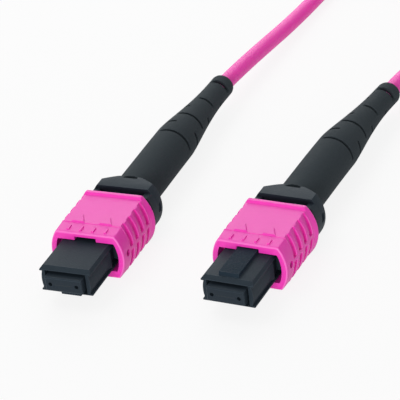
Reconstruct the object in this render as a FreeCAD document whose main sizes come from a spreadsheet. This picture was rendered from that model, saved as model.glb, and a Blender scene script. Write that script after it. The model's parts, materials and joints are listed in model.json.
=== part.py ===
import FreeCAD, Part
import math
import os

import Sketcher

# Patch cable with a push-pull multi-fibre connector on each end, in millimetres.
# Each connector is drawn in its own frame: z runs from the ferrule's face back along the cable,
# y points to the key's side and x across. Its placement lays it down along +Y of the part,
# with the floor at Z = 0 under the sleeves' rear rims.

# Driving dimensions
SIZES = {
    # How the two ends lie beside each other
    "end_spacing": 26.44,
    "end_stagger": 3.32,
    "end_yaw": 1.705,
    "boot_lean": 33.0,
    # Ferrule
    "ferrule_width": 6.4,
    "ferrule_height": 2.5,
    "ferrule_length": 8.0,
    "ferrule_bevel": 0.15,
    "flange_width": 7.0,
    "flange_height": 3.0,
    "flange_length": 2.0,
    "guide_pitch": 4.6,
    "guide_dia": 0.7,
    "window_width": 3.0,
    "window_length": 1.6,
    "window_setback": 2.3,
    "window_depth": 1.45,
    # Fibre ribbon and the rubber boot that guides it into the ferrule
    "ribbon_width": 3.05,
    "ribbon_thickness": 0.3,
    "ribbon_clearance": 0.05,
    "bundle_width": 1.6,
    "bundle_height": 1.0,
    "bundle_length": 9.0,
    "ferrule_boot_width": 3.4,
    "ferrule_boot_height": 1.5,
    "ferrule_boot_length": 6.5,
    "ferrule_boot_clearance": 0.05,
    "boot_pocket_depth": 3.5,
    # Pin keeper and ferrule spring
    "keeper_width": 6.6,
    "keeper_height": 2.8,
    "keeper_length": 2.0,
    "keeper_slot_height": 0.9,
    "ferrule_spring_length": 8.0,
    "ferrule_spring_wire": 0.3,
    "ferrule_spring_width": 5.9,
    "ferrule_spring_height": 2.9,
    # Plug frame
    "ferrule_protrusion": 1.05,
    "frame_width": 8.9,
    "frame_height": 4.9,
    "frame_flat_width": 8.1,
    "channel_width": 8.0,
    "wall_bulge": 0.25,
    "lip_bevel_height": 0.5,
    "lip_bevel_length": 0.7,
    "lip_edge": 0.25,
    "mouth_width": 7.1,
    "mouth_height": 3.7,
    "mouth_depth": 3.0,
    "ferrule_clearance": 0.1,
    "key_width": 3.4,
    "key_height": 0.65,
    "key_length": 11.6,
    "key_setback": 0.85,
    "key_bevel": 0.25,
    "catch_setback": 6.45,
    "catch_ramp": 1.2,
    "catch_land": 0.2,
    "catch_height": 3.0,
    # Sleeve stop and spring ribs on the frame
    "stop_length": 0.9,
    "stop_width": 10.0,
    "stop_height": 2.2,
    "stop_gap": 0.05,
    "spring_rib_thickness": 0.8,
    "spring_rib_width": 10.6,
    # Coupling sleeve
    "sleeve_setback": 8.3,
    "sleeve_length": 12.5,
    "sleeve_travel": 2.4,
    "sleeve_spare": 0.45,
    "sleeve_width": 12.9,
    "sleeve_height": 8.2,
    "sleeve_flat": 10.5,
    "sleeve_front_height": 7.8,
    "sleeve_front_flat": 10.4,
    "sleeve_slope_length": 2.95,
    "rim_width": 13.6,
    "rim_height": 9.0,
    "rim_flat": 10.0,
    "rim_length": 0.75,
    "rim_ramp": 0.35,
    "bore_width": 9.8,
    "bore_height": 5.2,
    "spring_channel_width": 11.1,
    "spring_channel_height": 3.4,
    "keyway_width": 3.8,
    "keyway_height": 6.5,
    "seat_setback": 2.45,
    "seat_thickness": 0.7,
    "seat_gap": 9.2,
    "seat_height": 1.8,
    "groove_setback": 3.1,
    "groove_width": 1.1,
    "groove_pitch": 2.2,
    "groove_depth": 0.4,
    "groove_end_depth": 0.12,
    "groove_web": 0.7,
    "groove_margin": 0.1,
    "relief": 0.12,
    "arrow_width": 2.5,
    "arrow_length": 2.35,
    "arrow_spacing": 4.9,
    # Sleeve springs
    "sleeve_spring_length": 7.1,
    "sleeve_spring_dia": 1.0,
    "sleeve_spring_wire": 0.16,
    # Rear body
    "nose_length": 2.6,
    "nose_clearance": 0.05,
    "arm_length": 3.2,
    "arm_thickness": 0.45,
    "arm_height": 1.8,
    "hook_length": 1.1,
    "hook_reach": 0.35,
    "hook_clearance": 0.15,
    "passage_width": 4.2,
    "passage_height": 1.8,
    "neck_width": 8.6,
    "neck_height": 4.8,
    "collar_dia": 12.0,
    "collar_height": 7.6,
    "collar_land": 2.05,
    "collar_taper": 1.5,
    "collar_end_dia": 8.5,
    "recess_length": 1.6,
    "recess_width": 0.9,
    "recess_depth": 0.3,
    "boot_socket_dia": 8.1,
    "boot_socket_depth": 0.5,
    "stub_dia": 5.0,
    "stub_passage": 1.8,
    "stub_length": 8.25,
    # Crimp ring and strain-relief boot
    "crimp_dia": 6.2,
    "crimp_length": 6.5,
    "crimp_setback": 1.25,
    "boot_dia": 7.44,
    "boot_tip_dia": 4.4,
    "boot_bore": 3.1,
    "boot_straight": 20.75,
    "boot_taper": 15.0,
    "boot_tail": 6.0,
    "slit_width": 0.55,
    "slit_pitch": 7.2,
    "slit_lead": 3.5,
    "slit_web": 3.8,
    # Cable, its coil and the tie
    "cable_dia": 3.0,
    "coil_x": 10.6,
    "coil_y": 111.4,
    "coil_radius": 17.3,
    "coil_width": 12.8,
    "coil_height": 6.0,
    "tie_thickness": 0.5,
    "tie_angle": 16.0,
    "lead_reach": 7.0,
}

# Counts
GROOVE_COUNT = 4
SLIT_COUNT = 4
SIDE_SLIT_COUNT = 3
FERRULE_SPRING_TURN_COUNT = 4
FERRULE_SPRING_SIDE_COUNT = 8
SLEEVE_SPRING_TURN_COUNT = 4
SLEEVE_SPRING_SIDE_COUNT = 6
CRIMP_SIDE_COUNT = 6
FACTOR_DIGIT_COUNT = 9

# Share of the shorter run that a lead's bend takes, and where each lead bends on the floor
BEND_SHARE = 0.45
LEAD_BENDS = {"a": (-13.9, 66.7, 1.5), "b": (20.3, 72.0, 1.5)}


class Size:
    """A length that keeps both its value and the cell formula it comes from."""

    def __init__(self, text, value):
        self.text = text
        self.value = value

    def __add__(self, other):
        other = as_size(other)
        return Size(f"({self.text} + {other.text})", self.value + other.value)

    def __radd__(self, other):
        return as_size(other) + self

    def __sub__(self, other):
        other = as_size(other)
        return Size(f"({self.text} - {other.text})", self.value - other.value)

    def __rsub__(self, other):
        return as_size(other) - self

    def __mul__(self, other):
        other = as_size(other)
        return Size(f"({self.text} * {other.text})", self.value * other.value)

    def __rmul__(self, other):
        return as_size(other) * self

    def __truediv__(self, other):
        other = as_size(other)
        return Size(f"({self.text} / {other.text})", self.value / other.value)

    def __neg__(self):
        return Size(f"(0 - {self.text})", -self.value)

    def root(self):
        return Size(f"sqrt({self.text})", math.sqrt(self.value))

    def cosine(self):
        return Size(f"cos({self.text})", math.cos(math.radians(self.value)))


def as_size(number):
    """A plain number as a Size, so that both mix in one formula."""
    if isinstance(number, Size):
        return number
    return Size(f"({number})", float(number))


doc = FreeCAD.newDocument("patch_cable")
sheet = doc.addObject("Spreadsheet::Sheet", "Sizes")
for row, (alias, number) in enumerate(SIZES.items(), start=1):
    sheet.set(f"A{row}", alias)
    sheet.set(f"B{row}", str(number))
    sheet.setAlias(f"B{row}", alias)
doc.recompute()


class Sizes:
    """The sheet's cells as Size values, by alias."""

    def __getattr__(self, alias):
        return Size(f"Sizes.{alias}", float(sheet.get(alias)))


dim = Sizes()
nodes = {}


# Stations along a connector, from the ferrule's face
shoulder_z = dim.ferrule_length - dim.flange_length
boot_pocket_z = dim.ferrule_length - dim.boot_pocket_depth
keeper_rear_z = dim.ferrule_length + dim.keeper_length
nose_front_z = keeper_rear_z + dim.ferrule_spring_length
frame_front_z = dim.ferrule_protrusion
frame_rear_z = nose_front_z + dim.nose_length
sleeve_front_z = frame_front_z + dim.sleeve_setback
sleeve_rear_z = sleeve_front_z + dim.sleeve_length
seat_z = sleeve_front_z + dim.seat_setback
sleeve_spring_z = seat_z + dim.seat_thickness
spring_rib_z = sleeve_spring_z + dim.sleeve_spring_length
collar_front_z = sleeve_rear_z + dim.sleeve_travel + dim.sleeve_spare
collar_rear_z = collar_front_z + dim.collar_land + dim.collar_taper
boot_front_z = collar_rear_z - dim.boot_socket_depth
stub_rear_z = boot_front_z + dim.stub_length
boot_rear_z = boot_front_z + dim.boot_straight + dim.boot_taper + dim.boot_tail
cavity_width = dim.flange_width + 2 * dim.ferrule_clearance
cavity_height = dim.flange_height + 2 * dim.ferrule_clearance
sleeve_spring_x = (dim.channel_width + dim.spring_channel_width) / 4


# Document helpers


def bind(thing, prop, size):
    """Tie one property to its cell formula."""
    thing.setExpression(prop, as_size(size).text)


def end_placement(end, twist=0.0):
    """Formula of the placement that lays a connector down: end a key down, end b key up."""
    side = -1 if end == "a" else 1
    x = dim.end_spacing * side / 2
    y = dim.end_stagger * side / 2 - boot_rear_z * dim.end_yaw.cosine() / 2
    z = dim.rim_height / 2
    yaw = dim.end_yaw if end == "a" else 180 - dim.end_yaw
    base = f"create(<<vector>>; {x.text}; {y.text}; {z.text})"
    turn = f"create(<<rotation>>; {yaw.text}; {as_size(twist).text}; {90 * side})"
    return f"create(<<placement>>; {base}; {turn})"


def new_body(name):
    """An empty body that becomes the node of that name."""
    body = doc.addObject("PartDesign::Body", name)
    body.Label = name
    nodes[name] = body
    return body


def new_sketch(body, role, offset=None):
    """A sketch on one of the body's own origin planes, moved along the plane's normal."""
    sketch = body.newObject("Sketcher::SketchObject", f"{body.Name}_sketch")
    plane = next(feature for feature in body.Origin.OriginFeatures if feature.Role == role)
    sketch.AttachmentSupport = [(plane, "")]
    sketch.MapMode = "FlatFace"
    if offset is not None:
        bind(sketch, "AttachmentOffset.Base.z", offset)
    return sketch


def fix_coordinate(sketch, kind, side, end, size):
    """Hold one coordinate of a point at its formula, or on the axis where it is zero."""
    if size.value == 0.0:
        axis = -2 if kind == "DistanceX" else -1
        sketch.addConstraint(Sketcher.Constraint("PointOnObject", side, end, axis))
        return
    index = sketch.addConstraint(Sketcher.Constraint(kind, -1, 1, side, end, size.value))
    bind(sketch, f"Constraints[{index}]", size)


def outline(sketch, corners, arcs=None):
    """A closed outline through corners; arcs maps a side to its (centre, radius)."""
    arcs = arcs or {}
    points = [(as_size(x), as_size(y)) for x, y in corners]
    ends = []
    for place, (x, y) in enumerate(points):
        start = FreeCAD.Vector(x.value, y.value, 0)
        following = points[(place + 1) % len(points)]
        finish = FreeCAD.Vector(following[0].value, following[1].value, 0)
        if place not in arcs:
            side = sketch.addGeometry(Part.LineSegment(start, finish), False)
            ends.append((side, 1, 2))
            continue
        (centre_x, centre_y), radius = arcs[place]
        centre = FreeCAD.Vector(as_size(centre_x).value, as_size(centre_y).value, 0)
        forward = (start - centre).cross(finish - centre).z > 0
        first, last = (start, finish) if forward else (finish, start)
        low = math.atan2(first.y - centre.y, first.x - centre.x)
        high = math.atan2(last.y - centre.y, last.x - centre.x)
        if high < low:
            high += 2 * math.pi
        circle = Part.Circle(centre, FreeCAD.Vector(0, 0, 1), radius.value)
        side = sketch.addGeometry(Part.ArcOfCircle(circle, low, high), False)
        ends.append((side, 1, 2) if forward else (side, 2, 1))
    for place, (side, _, finish) in enumerate(ends):
        next_side, next_start, _ = ends[(place + 1) % len(ends)]
        sketch.addConstraint(Sketcher.Constraint("Coincident", side, finish, next_side, next_start))
    for (x, y), (side, start, _) in zip(points, ends):
        fix_coordinate(sketch, "DistanceX", side, start, x)
        fix_coordinate(sketch, "DistanceY", side, start, y)
    for place, (_, radius) in arcs.items():
        side = ends[place][0]
        index = sketch.addConstraint(Sketcher.Constraint("Radius", side, radius.value))
        bind(sketch, f"Constraints[{index}]", radius)


def box_outline(sketch, low_x, high_x, low_y, high_y):
    """A rectangle given by its sides."""
    outline(sketch, [(low_x, low_y), (high_x, low_y), (high_x, high_y), (low_x, high_y)])


def centred_box(sketch, width, height):
    """A rectangle about the sketch's origin."""
    box_outline(sketch, -(width / 2), width / 2, -(height / 2), height / 2)


def circle_outline(sketch, x, y, dia):
    """A circle of a diameter about a point."""
    x, y = as_size(x), as_size(y)
    centre = FreeCAD.Vector(x.value, y.value, 0)
    side = sketch.addGeometry(Part.Circle(centre, FreeCAD.Vector(0, 0, 1), dia.value / 2), False)
    fix_coordinate(sketch, "DistanceX", side, 3, x)
    fix_coordinate(sketch, "DistanceY", side, 3, y)
    index = sketch.addConstraint(Sketcher.Constraint("Diameter", side, dia.value))
    bind(sketch, f"Constraints[{index}]", dia)


def arc_centre(flat, width, height):
    """Centre and radius of the bulging side of a flat-topped oval."""
    bulge = (width - flat) / 2
    half = height / 2
    radius = (bulge * bulge + half * half) / (2 * bulge)
    return width / 2 - radius, radius


def oval_outline(sketch, flat, width, height):
    """Flat top and bottom joined by bulging arc sides."""
    centre_x, radius = arc_centre(flat, width, height)
    half_flat, half = flat / 2, height / 2
    corners = [(half_flat, -half), (half_flat, half), (-half_flat, half), (-half_flat, -half)]
    outline(sketch, corners, {0: ((centre_x, 0), radius), 2: ((-centre_x, 0), radius)})


def add_pad(body, sketch, length, both_ways=False, reverse=False):
    """Extrude a sketch as new material."""
    pad = body.newObject("PartDesign::Pad", f"{body.Name}_pad")
    pad.Profile = sketch
    bind(pad, "Length", length)
    pad.SideType = "Symmetric" if both_ways else "One side"
    pad.Reversed = reverse
    doc.recompute()
    return pad


def must_shrink(body, before):
    """Stop where a cut removed nothing."""
    if not body.Shape.Volume < before - 1e-6:
        raise RuntimeError(f"a cut on {body.Label} removed nothing")


def add_pocket(body, sketch, length, both_ways=False):
    """Cut a sketch away along its normal, or both ways from it."""
    before = body.Shape.Volume
    pocket = body.newObject("PartDesign::Pocket", f"{body.Name}_pocket")
    pocket.Profile = sketch
    bind(pocket, "Length", length)
    pocket.SideType = "Symmetric" if both_ways else "One side"
    pocket.Reversed = not both_ways
    doc.recompute()
    must_shrink(body, before)
    return pocket


def add_revolution(body, sketch):
    """Turn a sketch round the connector's axis as new material."""
    turned = body.newObject("PartDesign::Revolution", f"{body.Name}_turned")
    turned.Profile = sketch
    turned.ReferenceAxis = (sketch, ["V_Axis"])
    turned.Angle = 360
    doc.recompute()
    return turned


def repeat_opposite(body, feature):
    """Repeat a feature on the opposite side of the connector's axis."""
    before = body.Shape.Volume
    axis = next(line for line in body.Origin.OriginFeatures if line.Role == "Z_Axis")
    pattern = body.newObject("PartDesign::PolarPattern", f"{body.Name}_opposite")
    pattern.Originals = [feature]
    pattern.Axis = (axis, [""])
    pattern.Angle = 360
    pattern.Occurrences = 2
    body.Tip = pattern
    doc.recompute()
    must_shrink(body, before)


def wire_spring(name, width, height, centre_x, start, length, wire, turns, sides):
    """A coil spring of square wire, as straight steps with mitred corners."""
    reach = wire.value / 2
    steps = turns * sides
    rise = (length.value - wire.value) / steps
    half_width = (width.value - wire.value) / 2
    half_height = (height.value - wire.value) / 2
    points = []
    for step in range(steps + 1):
        angle = 2 * math.pi * step / sides
        x = centre_x + half_width * math.cos(angle)
        y = half_height * math.sin(angle)
        points.append(FreeCAD.Vector(x, y, start.value + reach + rise * step))
    corners = [(-reach, -reach), (reach, -reach), (reach, reach), (-reach, reach), (-reach, -reach)]
    section = Part.makePolygon([points[0] + FreeCAD.Vector(x, 0, z) for x, z in corners])
    pipe = Part.BRepOffsetAPI.MakePipeShell(Part.makePolygon(points))
    pipe.setTransitionMode(1)
    pipe.add(section, False, True)
    pipe.build()
    pipe.makeSolid()
    spring = doc.addObject("Part::Feature", name)
    spring.Label = name
    spring.Shape = pipe.shape()
    nodes[name] = spring
    return spring


# Pieces of one connector


def build_ferrule(end):
    """Rectangular ferrule with a rear flange, two guide-pin holes and a filling window."""
    body = new_body(f"ferrule_{end}")
    sketch = new_sketch(body, "XY_Plane")
    centred_box(sketch, dim.ferrule_width, dim.ferrule_height)
    add_pad(body, sketch, dim.ferrule_length)
    sketch = new_sketch(body, "XY_Plane", shoulder_z)
    centred_box(sketch, dim.flange_width, dim.flange_height)
    block = add_pad(body, sketch, dim.flange_length)
    front = [f"Edge{place}" for place, edge in enumerate(body.Shape.Edges, start=1)
             if abs(edge.BoundBox.ZMax) < 1e-6]
    bevel = body.newObject("PartDesign::Chamfer", f"{body.Name}_bevel")
    bevel.Base = (block, front)
    bind(bevel, "Size", dim.ferrule_bevel)
    doc.recompute()
    sketch = new_sketch(body, "XY_Plane")
    for side in (-1, 1):
        circle_outline(sketch, dim.guide_pitch * side / 2, 0, dim.guide_dia)
    add_pocket(body, sketch, dim.ferrule_length)
    sketch = new_sketch(body, "XY_Plane", boot_pocket_z)
    clearance = 2 * dim.ferrule_boot_clearance
    centred_box(sketch, dim.ferrule_boot_width + clearance, dim.ferrule_boot_height + clearance)
    add_pocket(body, sketch, dim.boot_pocket_depth)
    sketch = new_sketch(body, "YZ_Plane")
    top = dim.ferrule_height / 2
    window_rear = dim.window_setback + dim.window_length
    box_outline(sketch, top - dim.window_depth, top, dim.window_setback, window_rear)
    add_pocket(body, sketch, dim.window_width, both_ways=True)
    return body


def build_ferrule_boot(end):
    """Rubber sleeve that carries the ribbon into the back of the ferrule."""
    body = new_body(f"ferrule_boot_{end}")
    sketch = new_sketch(body, "XY_Plane", boot_pocket_z)
    centred_box(sketch, dim.ferrule_boot_width, dim.ferrule_boot_height)
    add_pad(body, sketch, dim.ferrule_boot_length)
    sketch = new_sketch(body, "XY_Plane", boot_pocket_z)
    clearance = 2 * dim.ribbon_clearance
    centred_box(sketch, dim.ribbon_width + clearance, dim.ribbon_thickness + clearance)
    add_pocket(body, sketch, dim.ferrule_boot_length)
    return body


def build_pin_keeper(end):
    """Plate behind the ferrule that the spring pushes on, open for the boot and for guide pins."""
    body = new_body(f"pin_keeper_{end}")
    sketch = new_sketch(body, "XY_Plane", dim.ferrule_length)
    centred_box(sketch, dim.keeper_width, dim.keeper_height)
    add_pad(body, sketch, dim.keeper_length)
    sketch = new_sketch(body, "XY_Plane", dim.ferrule_length)
    clearance = 2 * dim.ferrule_boot_clearance
    centred_box(sketch, dim.ferrule_boot_width + clearance, dim.ferrule_boot_height + clearance)
    add_pocket(body, sketch, dim.keeper_length)
    sketch = new_sketch(body, "XY_Plane", dim.ferrule_length)
    centred_box(sketch, dim.guide_pitch + dim.keeper_slot_height, dim.keeper_slot_height)
    add_pocket(body, sketch, dim.keeper_length)
    return body


def build_ribbon(end):
    """Flat fibre ribbon, gathered into a narrow bundle where it meets the cable."""
    body = new_body(f"fibre_ribbon_{end}")
    sketch = new_sketch(body, "XY_Plane", boot_pocket_z)
    centred_box(sketch, dim.ribbon_width, dim.ribbon_thickness)
    add_pad(body, sketch, stub_rear_z - dim.bundle_length - boot_pocket_z)
    sketch = new_sketch(body, "XY_Plane", stub_rear_z - dim.bundle_length)
    centred_box(sketch, dim.bundle_width, dim.bundle_height)
    add_pad(body, sketch, dim.bundle_length)
    return body


def frame_section(sketch):
    """Section of the plug frame: two bevelled plates on walls that stand back as channels."""
    flat, width, channel = dim.frame_flat_width / 2, dim.frame_width / 2, dim.channel_width / 2
    top = dim.frame_height / 2
    edge_top = top - dim.lip_bevel_height
    edge_low = edge_top - dim.lip_edge
    quarter = [(channel, edge_low), (width, edge_low), (width, edge_top), (flat, top)]
    right = [(x, -y) for x, y in reversed(quarter)] + quarter
    left = [(-x, y) for x, y in reversed(right)]
    outline(sketch, right + left)


def build_plug_frame(end):
    """Front housing: bevelled lips, ferrule opening, key, latch catches, sleeve stop and spring ribs."""
    body = new_body(f"plug_frame_{end}")
    sketch = new_sketch(body, "XY_Plane", frame_front_z)
    frame_section(sketch)
    add_pad(body, sketch, frame_rear_z - frame_front_z)
    # Bevelled front edges of both plates
    top = dim.frame_height / 2
    bevel_low = top - dim.lip_bevel_height
    bevel_rear = frame_front_z + dim.lip_bevel_length
    sketch = new_sketch(body, "YZ_Plane")
    outline(sketch, [(bevel_low, frame_front_z), (top, frame_front_z), (top, bevel_rear)])
    outline(sketch, [(-bevel_low, frame_front_z), (-top, bevel_rear), (-top, frame_front_z)])
    add_pocket(body, sketch, dim.frame_width, both_ways=True)
    # Mouth, ferrule guide and rear cavity
    sketch = new_sketch(body, "XY_Plane", frame_front_z)
    centred_box(sketch, dim.mouth_width, dim.mouth_height)
    add_pocket(body, sketch, dim.mouth_depth)
    sketch = new_sketch(body, "XY_Plane", frame_front_z)
    clearance = 2 * dim.ferrule_clearance
    centred_box(sketch, dim.ferrule_width + clearance, dim.ferrule_height + clearance)
    add_pocket(body, sketch, frame_rear_z - frame_front_z)
    sketch = new_sketch(body, "XY_Plane", shoulder_z)
    centred_box(sketch, cavity_width, cavity_height)
    add_pocket(body, sketch, frame_rear_z - shoulder_z)
    # Key
    key_front = frame_front_z + dim.key_setback
    key_rear = key_front + dim.key_length
    key_top = top + dim.key_height
    root = top - dim.lip_bevel_height / 2
    sketch = new_sketch(body, "YZ_Plane")
    outline(sketch, [(root, key_front), (key_top, key_front + dim.key_bevel), (key_top, key_rear),
                     (root, key_rear)])
    add_pad(body, sketch, dim.key_width, both_ways=True)
    # Bulge of both side walls between the lips, as far as the latch catches
    wall = (cavity_width + dim.channel_width) / 4
    channel, half = dim.channel_width / 2, top - dim.lip_bevel_height - dim.lip_edge
    catch_front = frame_front_z + dim.catch_setback
    catch_top = catch_front + dim.catch_ramp
    catch_rear = catch_top + dim.catch_land
    centre_x, radius = arc_centre(dim.channel_width, dim.channel_width + 2 * dim.wall_bulge, 2 * half)
    sketch = new_sketch(body, "XY_Plane", frame_front_z)
    for side in (-1, 1):
        corners = [(wall, -half), (channel, -half), (channel, half), (wall, half)]
        outline(sketch, [(side * x, y) for x, y in corners], {1: ((side * centre_x, 0), radius)})
    add_pad(body, sketch, catch_top - frame_front_z)
    # Latch catches, as ramps on both side walls
    reach = dim.frame_width / 2
    sketch = new_sketch(body, "XZ_Plane")
    for side in (-1, 1):
        outline(sketch, [(side * wall, catch_front), (side * reach, catch_top), (side * reach, catch_rear),
                         (side * wall, catch_rear)])
    add_pad(body, sketch, dim.catch_height, both_ways=True)
    # Stops that hold the sleeve on, and ribs behind the sleeve springs
    stop_rear = seat_z - dim.stop_gap
    stop_front = stop_rear - dim.stop_length
    rib_rear = spring_rib_z + dim.spring_rib_thickness
    sketch = new_sketch(body, "XZ_Plane")
    for side in (-1, 1):
        box_outline(sketch, side * wall, side * dim.stop_width / 2, stop_front, stop_rear)
        box_outline(sketch, side * wall, side * dim.spring_rib_width / 2, spring_rib_z, rib_rear)
    add_pad(body, sketch, dim.stop_height, both_ways=True)
    # Windows for the rear body's hooks
    window_front = nose_front_z - dim.arm_length
    window_rear = window_front + dim.hook_length + 2 * dim.hook_clearance
    window_half = dim.arm_height / 2 + dim.hook_clearance
    sketch = new_sketch(body, "YZ_Plane")
    box_outline(sketch, -window_half, window_half, window_front, window_rear)
    add_pocket(body, sketch, dim.frame_width, both_ways=True)
    return body


def build_sleeve(end):
    """Coupling sleeve: flat top and bottom, bulging ribbed sides, raised rear rim and keyways."""
    body = new_body(f"coupling_sleeve_{end}")
    rim_front = sleeve_rear_z - dim.rim_length
    stations = [
        (sleeve_front_z, dim.sleeve_front_flat, dim.sleeve_width, dim.sleeve_front_height),
        (sleeve_front_z + dim.sleeve_slope_length, dim.sleeve_flat, dim.sleeve_width, dim.sleeve_height),
        (rim_front - dim.rim_ramp, dim.sleeve_flat, dim.sleeve_width, dim.sleeve_height),
        (rim_front, dim.rim_flat, dim.rim_width, dim.rim_height),
        (sleeve_rear_z, dim.rim_flat, dim.rim_width, dim.rim_height),
    ]
    sections = []
    for station, flat, width, height in stations:
        sketch = new_sketch(body, "XY_Plane", station)
        oval_outline(sketch, flat, width, height)
        sections.append(sketch)
    shell = body.newObject("PartDesign::AdditiveLoft", f"{body.Name}_shell")
    shell.Profile = sections[0]
    shell.Sections = sections[1:]
    shell.Ruled = True
    doc.recompute()
    # Raised arrows on the top and the bottom
    arrow_base = sleeve_front_z + dim.sleeve_slope_length
    sketch = new_sketch(body, "XZ_Plane")
    for side in (-1, 1):
        middle = dim.arrow_spacing * side / 2
        half = dim.arrow_width / 2
        outline(sketch, [(middle - half, arrow_base), (middle + half, arrow_base),
                         (middle, arrow_base + dim.arrow_length)])
    add_pad(body, sketch, dim.sleeve_height + 2 * dim.relief, both_ways=True)
    # Bore, spring channels at its sides, and a keyway above and below
    for width, height in (
        (dim.bore_width, dim.bore_height),
        (dim.spring_channel_width, dim.spring_channel_height),
        (dim.keyway_width, dim.keyway_height),
    ):
        sketch = new_sketch(body, "XY_Plane", sleeve_front_z)
        centred_box(sketch, width, height)
        add_pocket(body, sketch, dim.sleeve_length)
    # Seats for the sleeve springs
    sketch = new_sketch(body, "XZ_Plane")
    outer = (dim.sleeve_width + dim.spring_channel_width) / 4
    for side in (-1, 1):
        box_outline(sketch, side * dim.seat_gap / 2, side * outer, seat_z, sleeve_spring_z)
    add_pad(body, sketch, dim.seat_height, both_ways=True)
    # Grip grooves, deepest at a web at mid-height and shallow at their ends below the flats
    centre_x, radius = arc_centre(dim.sleeve_flat, dim.sleeve_width, dim.sleeve_height)
    low, high = dim.groove_web / 2, dim.sleeve_height / 2 - dim.groove_margin
    floor_points = []
    for height, depth in (
        (high, dim.groove_end_depth), ((low + high) / 2, dim.groove_depth), (low, dim.groove_depth)
    ):
        floor = radius - depth
        floor_points.append((centre_x + (floor * floor - height * height).root(), height))
    outside = dim.sleeve_width / 2 + dim.groove_depth
    sketch = new_sketch(body, "XY_Plane", sleeve_front_z + dim.groove_setback)
    for side in (-1, 1):
        for up in (-1, 1):
            corners = [(outside, low), (outside, high)] + floor_points
            outline(sketch, [(side * x, up * y) for x, y in corners])
    groove = add_pocket(body, sketch, dim.groove_width)
    before = body.Shape.Volume
    pattern = body.newObject("PartDesign::LinearPattern", f"{body.Name}_grooves")
    pattern.Originals = [groove]
    pattern.Direction = (sketch, ["N_Axis"])
    bind(pattern, "Length", dim.groove_pitch * (GROOVE_COUNT - 1))
    pattern.Occurrences = GROOVE_COUNT
    body.Tip = pattern
    doc.recompute()
    must_shrink(body, before)
    return body


def build_rear_body(end):
    """Spring push: nose with two hooked arms, neck, round collar with flats and the crimp stub."""
    body = new_body(f"rear_body_{end}")
    collar, land_rear = dim.collar_dia / 2, collar_front_z + dim.collar_land
    socket, stub = dim.boot_socket_dia / 2, dim.stub_dia / 2
    sketch = new_sketch(body, "YZ_Plane")
    outline(sketch, [(0, collar_front_z), (collar, collar_front_z), (collar, land_rear),
                     (dim.collar_end_dia / 2, collar_rear_z), (socket, collar_rear_z),
                     (socket, boot_front_z), (stub, boot_front_z), (stub, stub_rear_z), (0, stub_rear_z)])
    add_revolution(body, sketch)
    # Flats above and below
    flat = dim.collar_height / 2
    sketch = new_sketch(body, "YZ_Plane")
    for side in (-1, 1):
        box_outline(sketch, side * flat, side * dim.collar_dia, collar_front_z, collar_rear_z)
    add_pocket(body, sketch, dim.collar_dia, both_ways=True)
    # Small recess on each side of the collar
    middle = collar_front_z + dim.collar_land / 2
    sketch = new_sketch(body, "YZ_Plane", collar - dim.recess_depth)
    box_outline(sketch, -(dim.recess_length / 2), dim.recess_length / 2,
                middle - dim.recess_width / 2, middle + dim.recess_width / 2)
    recess = add_pocket(body, sketch, dim.recess_depth)
    repeat_opposite(body, recess)
    # Neck and nose
    sketch = new_sketch(body, "XY_Plane", frame_rear_z)
    centred_box(sketch, dim.neck_width, dim.neck_height)
    add_pad(body, sketch, collar_front_z - frame_rear_z)
    nose_half = cavity_width / 2 - dim.nose_clearance
    sketch = new_sketch(body, "XY_Plane", nose_front_z)
    centred_box(sketch, 2 * nose_half, cavity_height - 2 * dim.nose_clearance)
    add_pad(body, sketch, dim.nose_length)
    # Hooked arms beside the ferrule spring
    arm_front = nose_front_z - dim.arm_length + dim.hook_clearance
    hook_rear = arm_front + dim.hook_length
    arm_inner = nose_half - dim.arm_thickness
    hook = nose_half + dim.hook_reach
    sketch = new_sketch(body, "XZ_Plane")
    for side in (-1, 1):
        outline(sketch, [(side * arm_inner, arm_front), (side * nose_half, arm_front),
                         (side * hook, hook_rear), (side * nose_half, hook_rear),
                         (side * nose_half, nose_front_z), (side * arm_inner, nose_front_z)])
    add_pad(body, sketch, dim.arm_height, both_ways=True)
    # Passage for the ribbon, narrower through the stub
    sketch = new_sketch(body, "XY_Plane", nose_front_z)
    centred_box(sketch, dim.passage_width, dim.passage_height)
    add_pocket(body, sketch, boot_front_z - nose_front_z)
    sketch = new_sketch(body, "XY_Plane", boot_front_z)
    centred_box(sketch, dim.stub_passage, dim.stub_passage)
    add_pocket(body, sketch, dim.stub_length)
    return body


def crimp_corners():
    """Corners of the six-sided crimp."""
    turns = [2 * math.pi * place / CRIMP_SIDE_COUNT for place in range(CRIMP_SIDE_COUNT)]
    digits = FACTOR_DIGIT_COUNT
    corners = [(round(math.cos(turn) / 2, digits), round(math.sin(turn) / 2, digits)) for turn in turns]
    return [(dim.crimp_dia * x, dim.crimp_dia * y) for x, y in corners]


def build_crimp_ring(end):
    """Metal ring crimped on the stub, left with six flats by the crimping tool."""
    body = new_body(f"crimp_ring_{end}")
    sketch = new_sketch(body, "XY_Plane", boot_front_z + dim.crimp_setback)
    outline(sketch, crimp_corners())
    circle_outline(sketch, 0, 0, dim.stub_dia)
    add_pad(body, sketch, dim.crimp_length)
    return body


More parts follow.
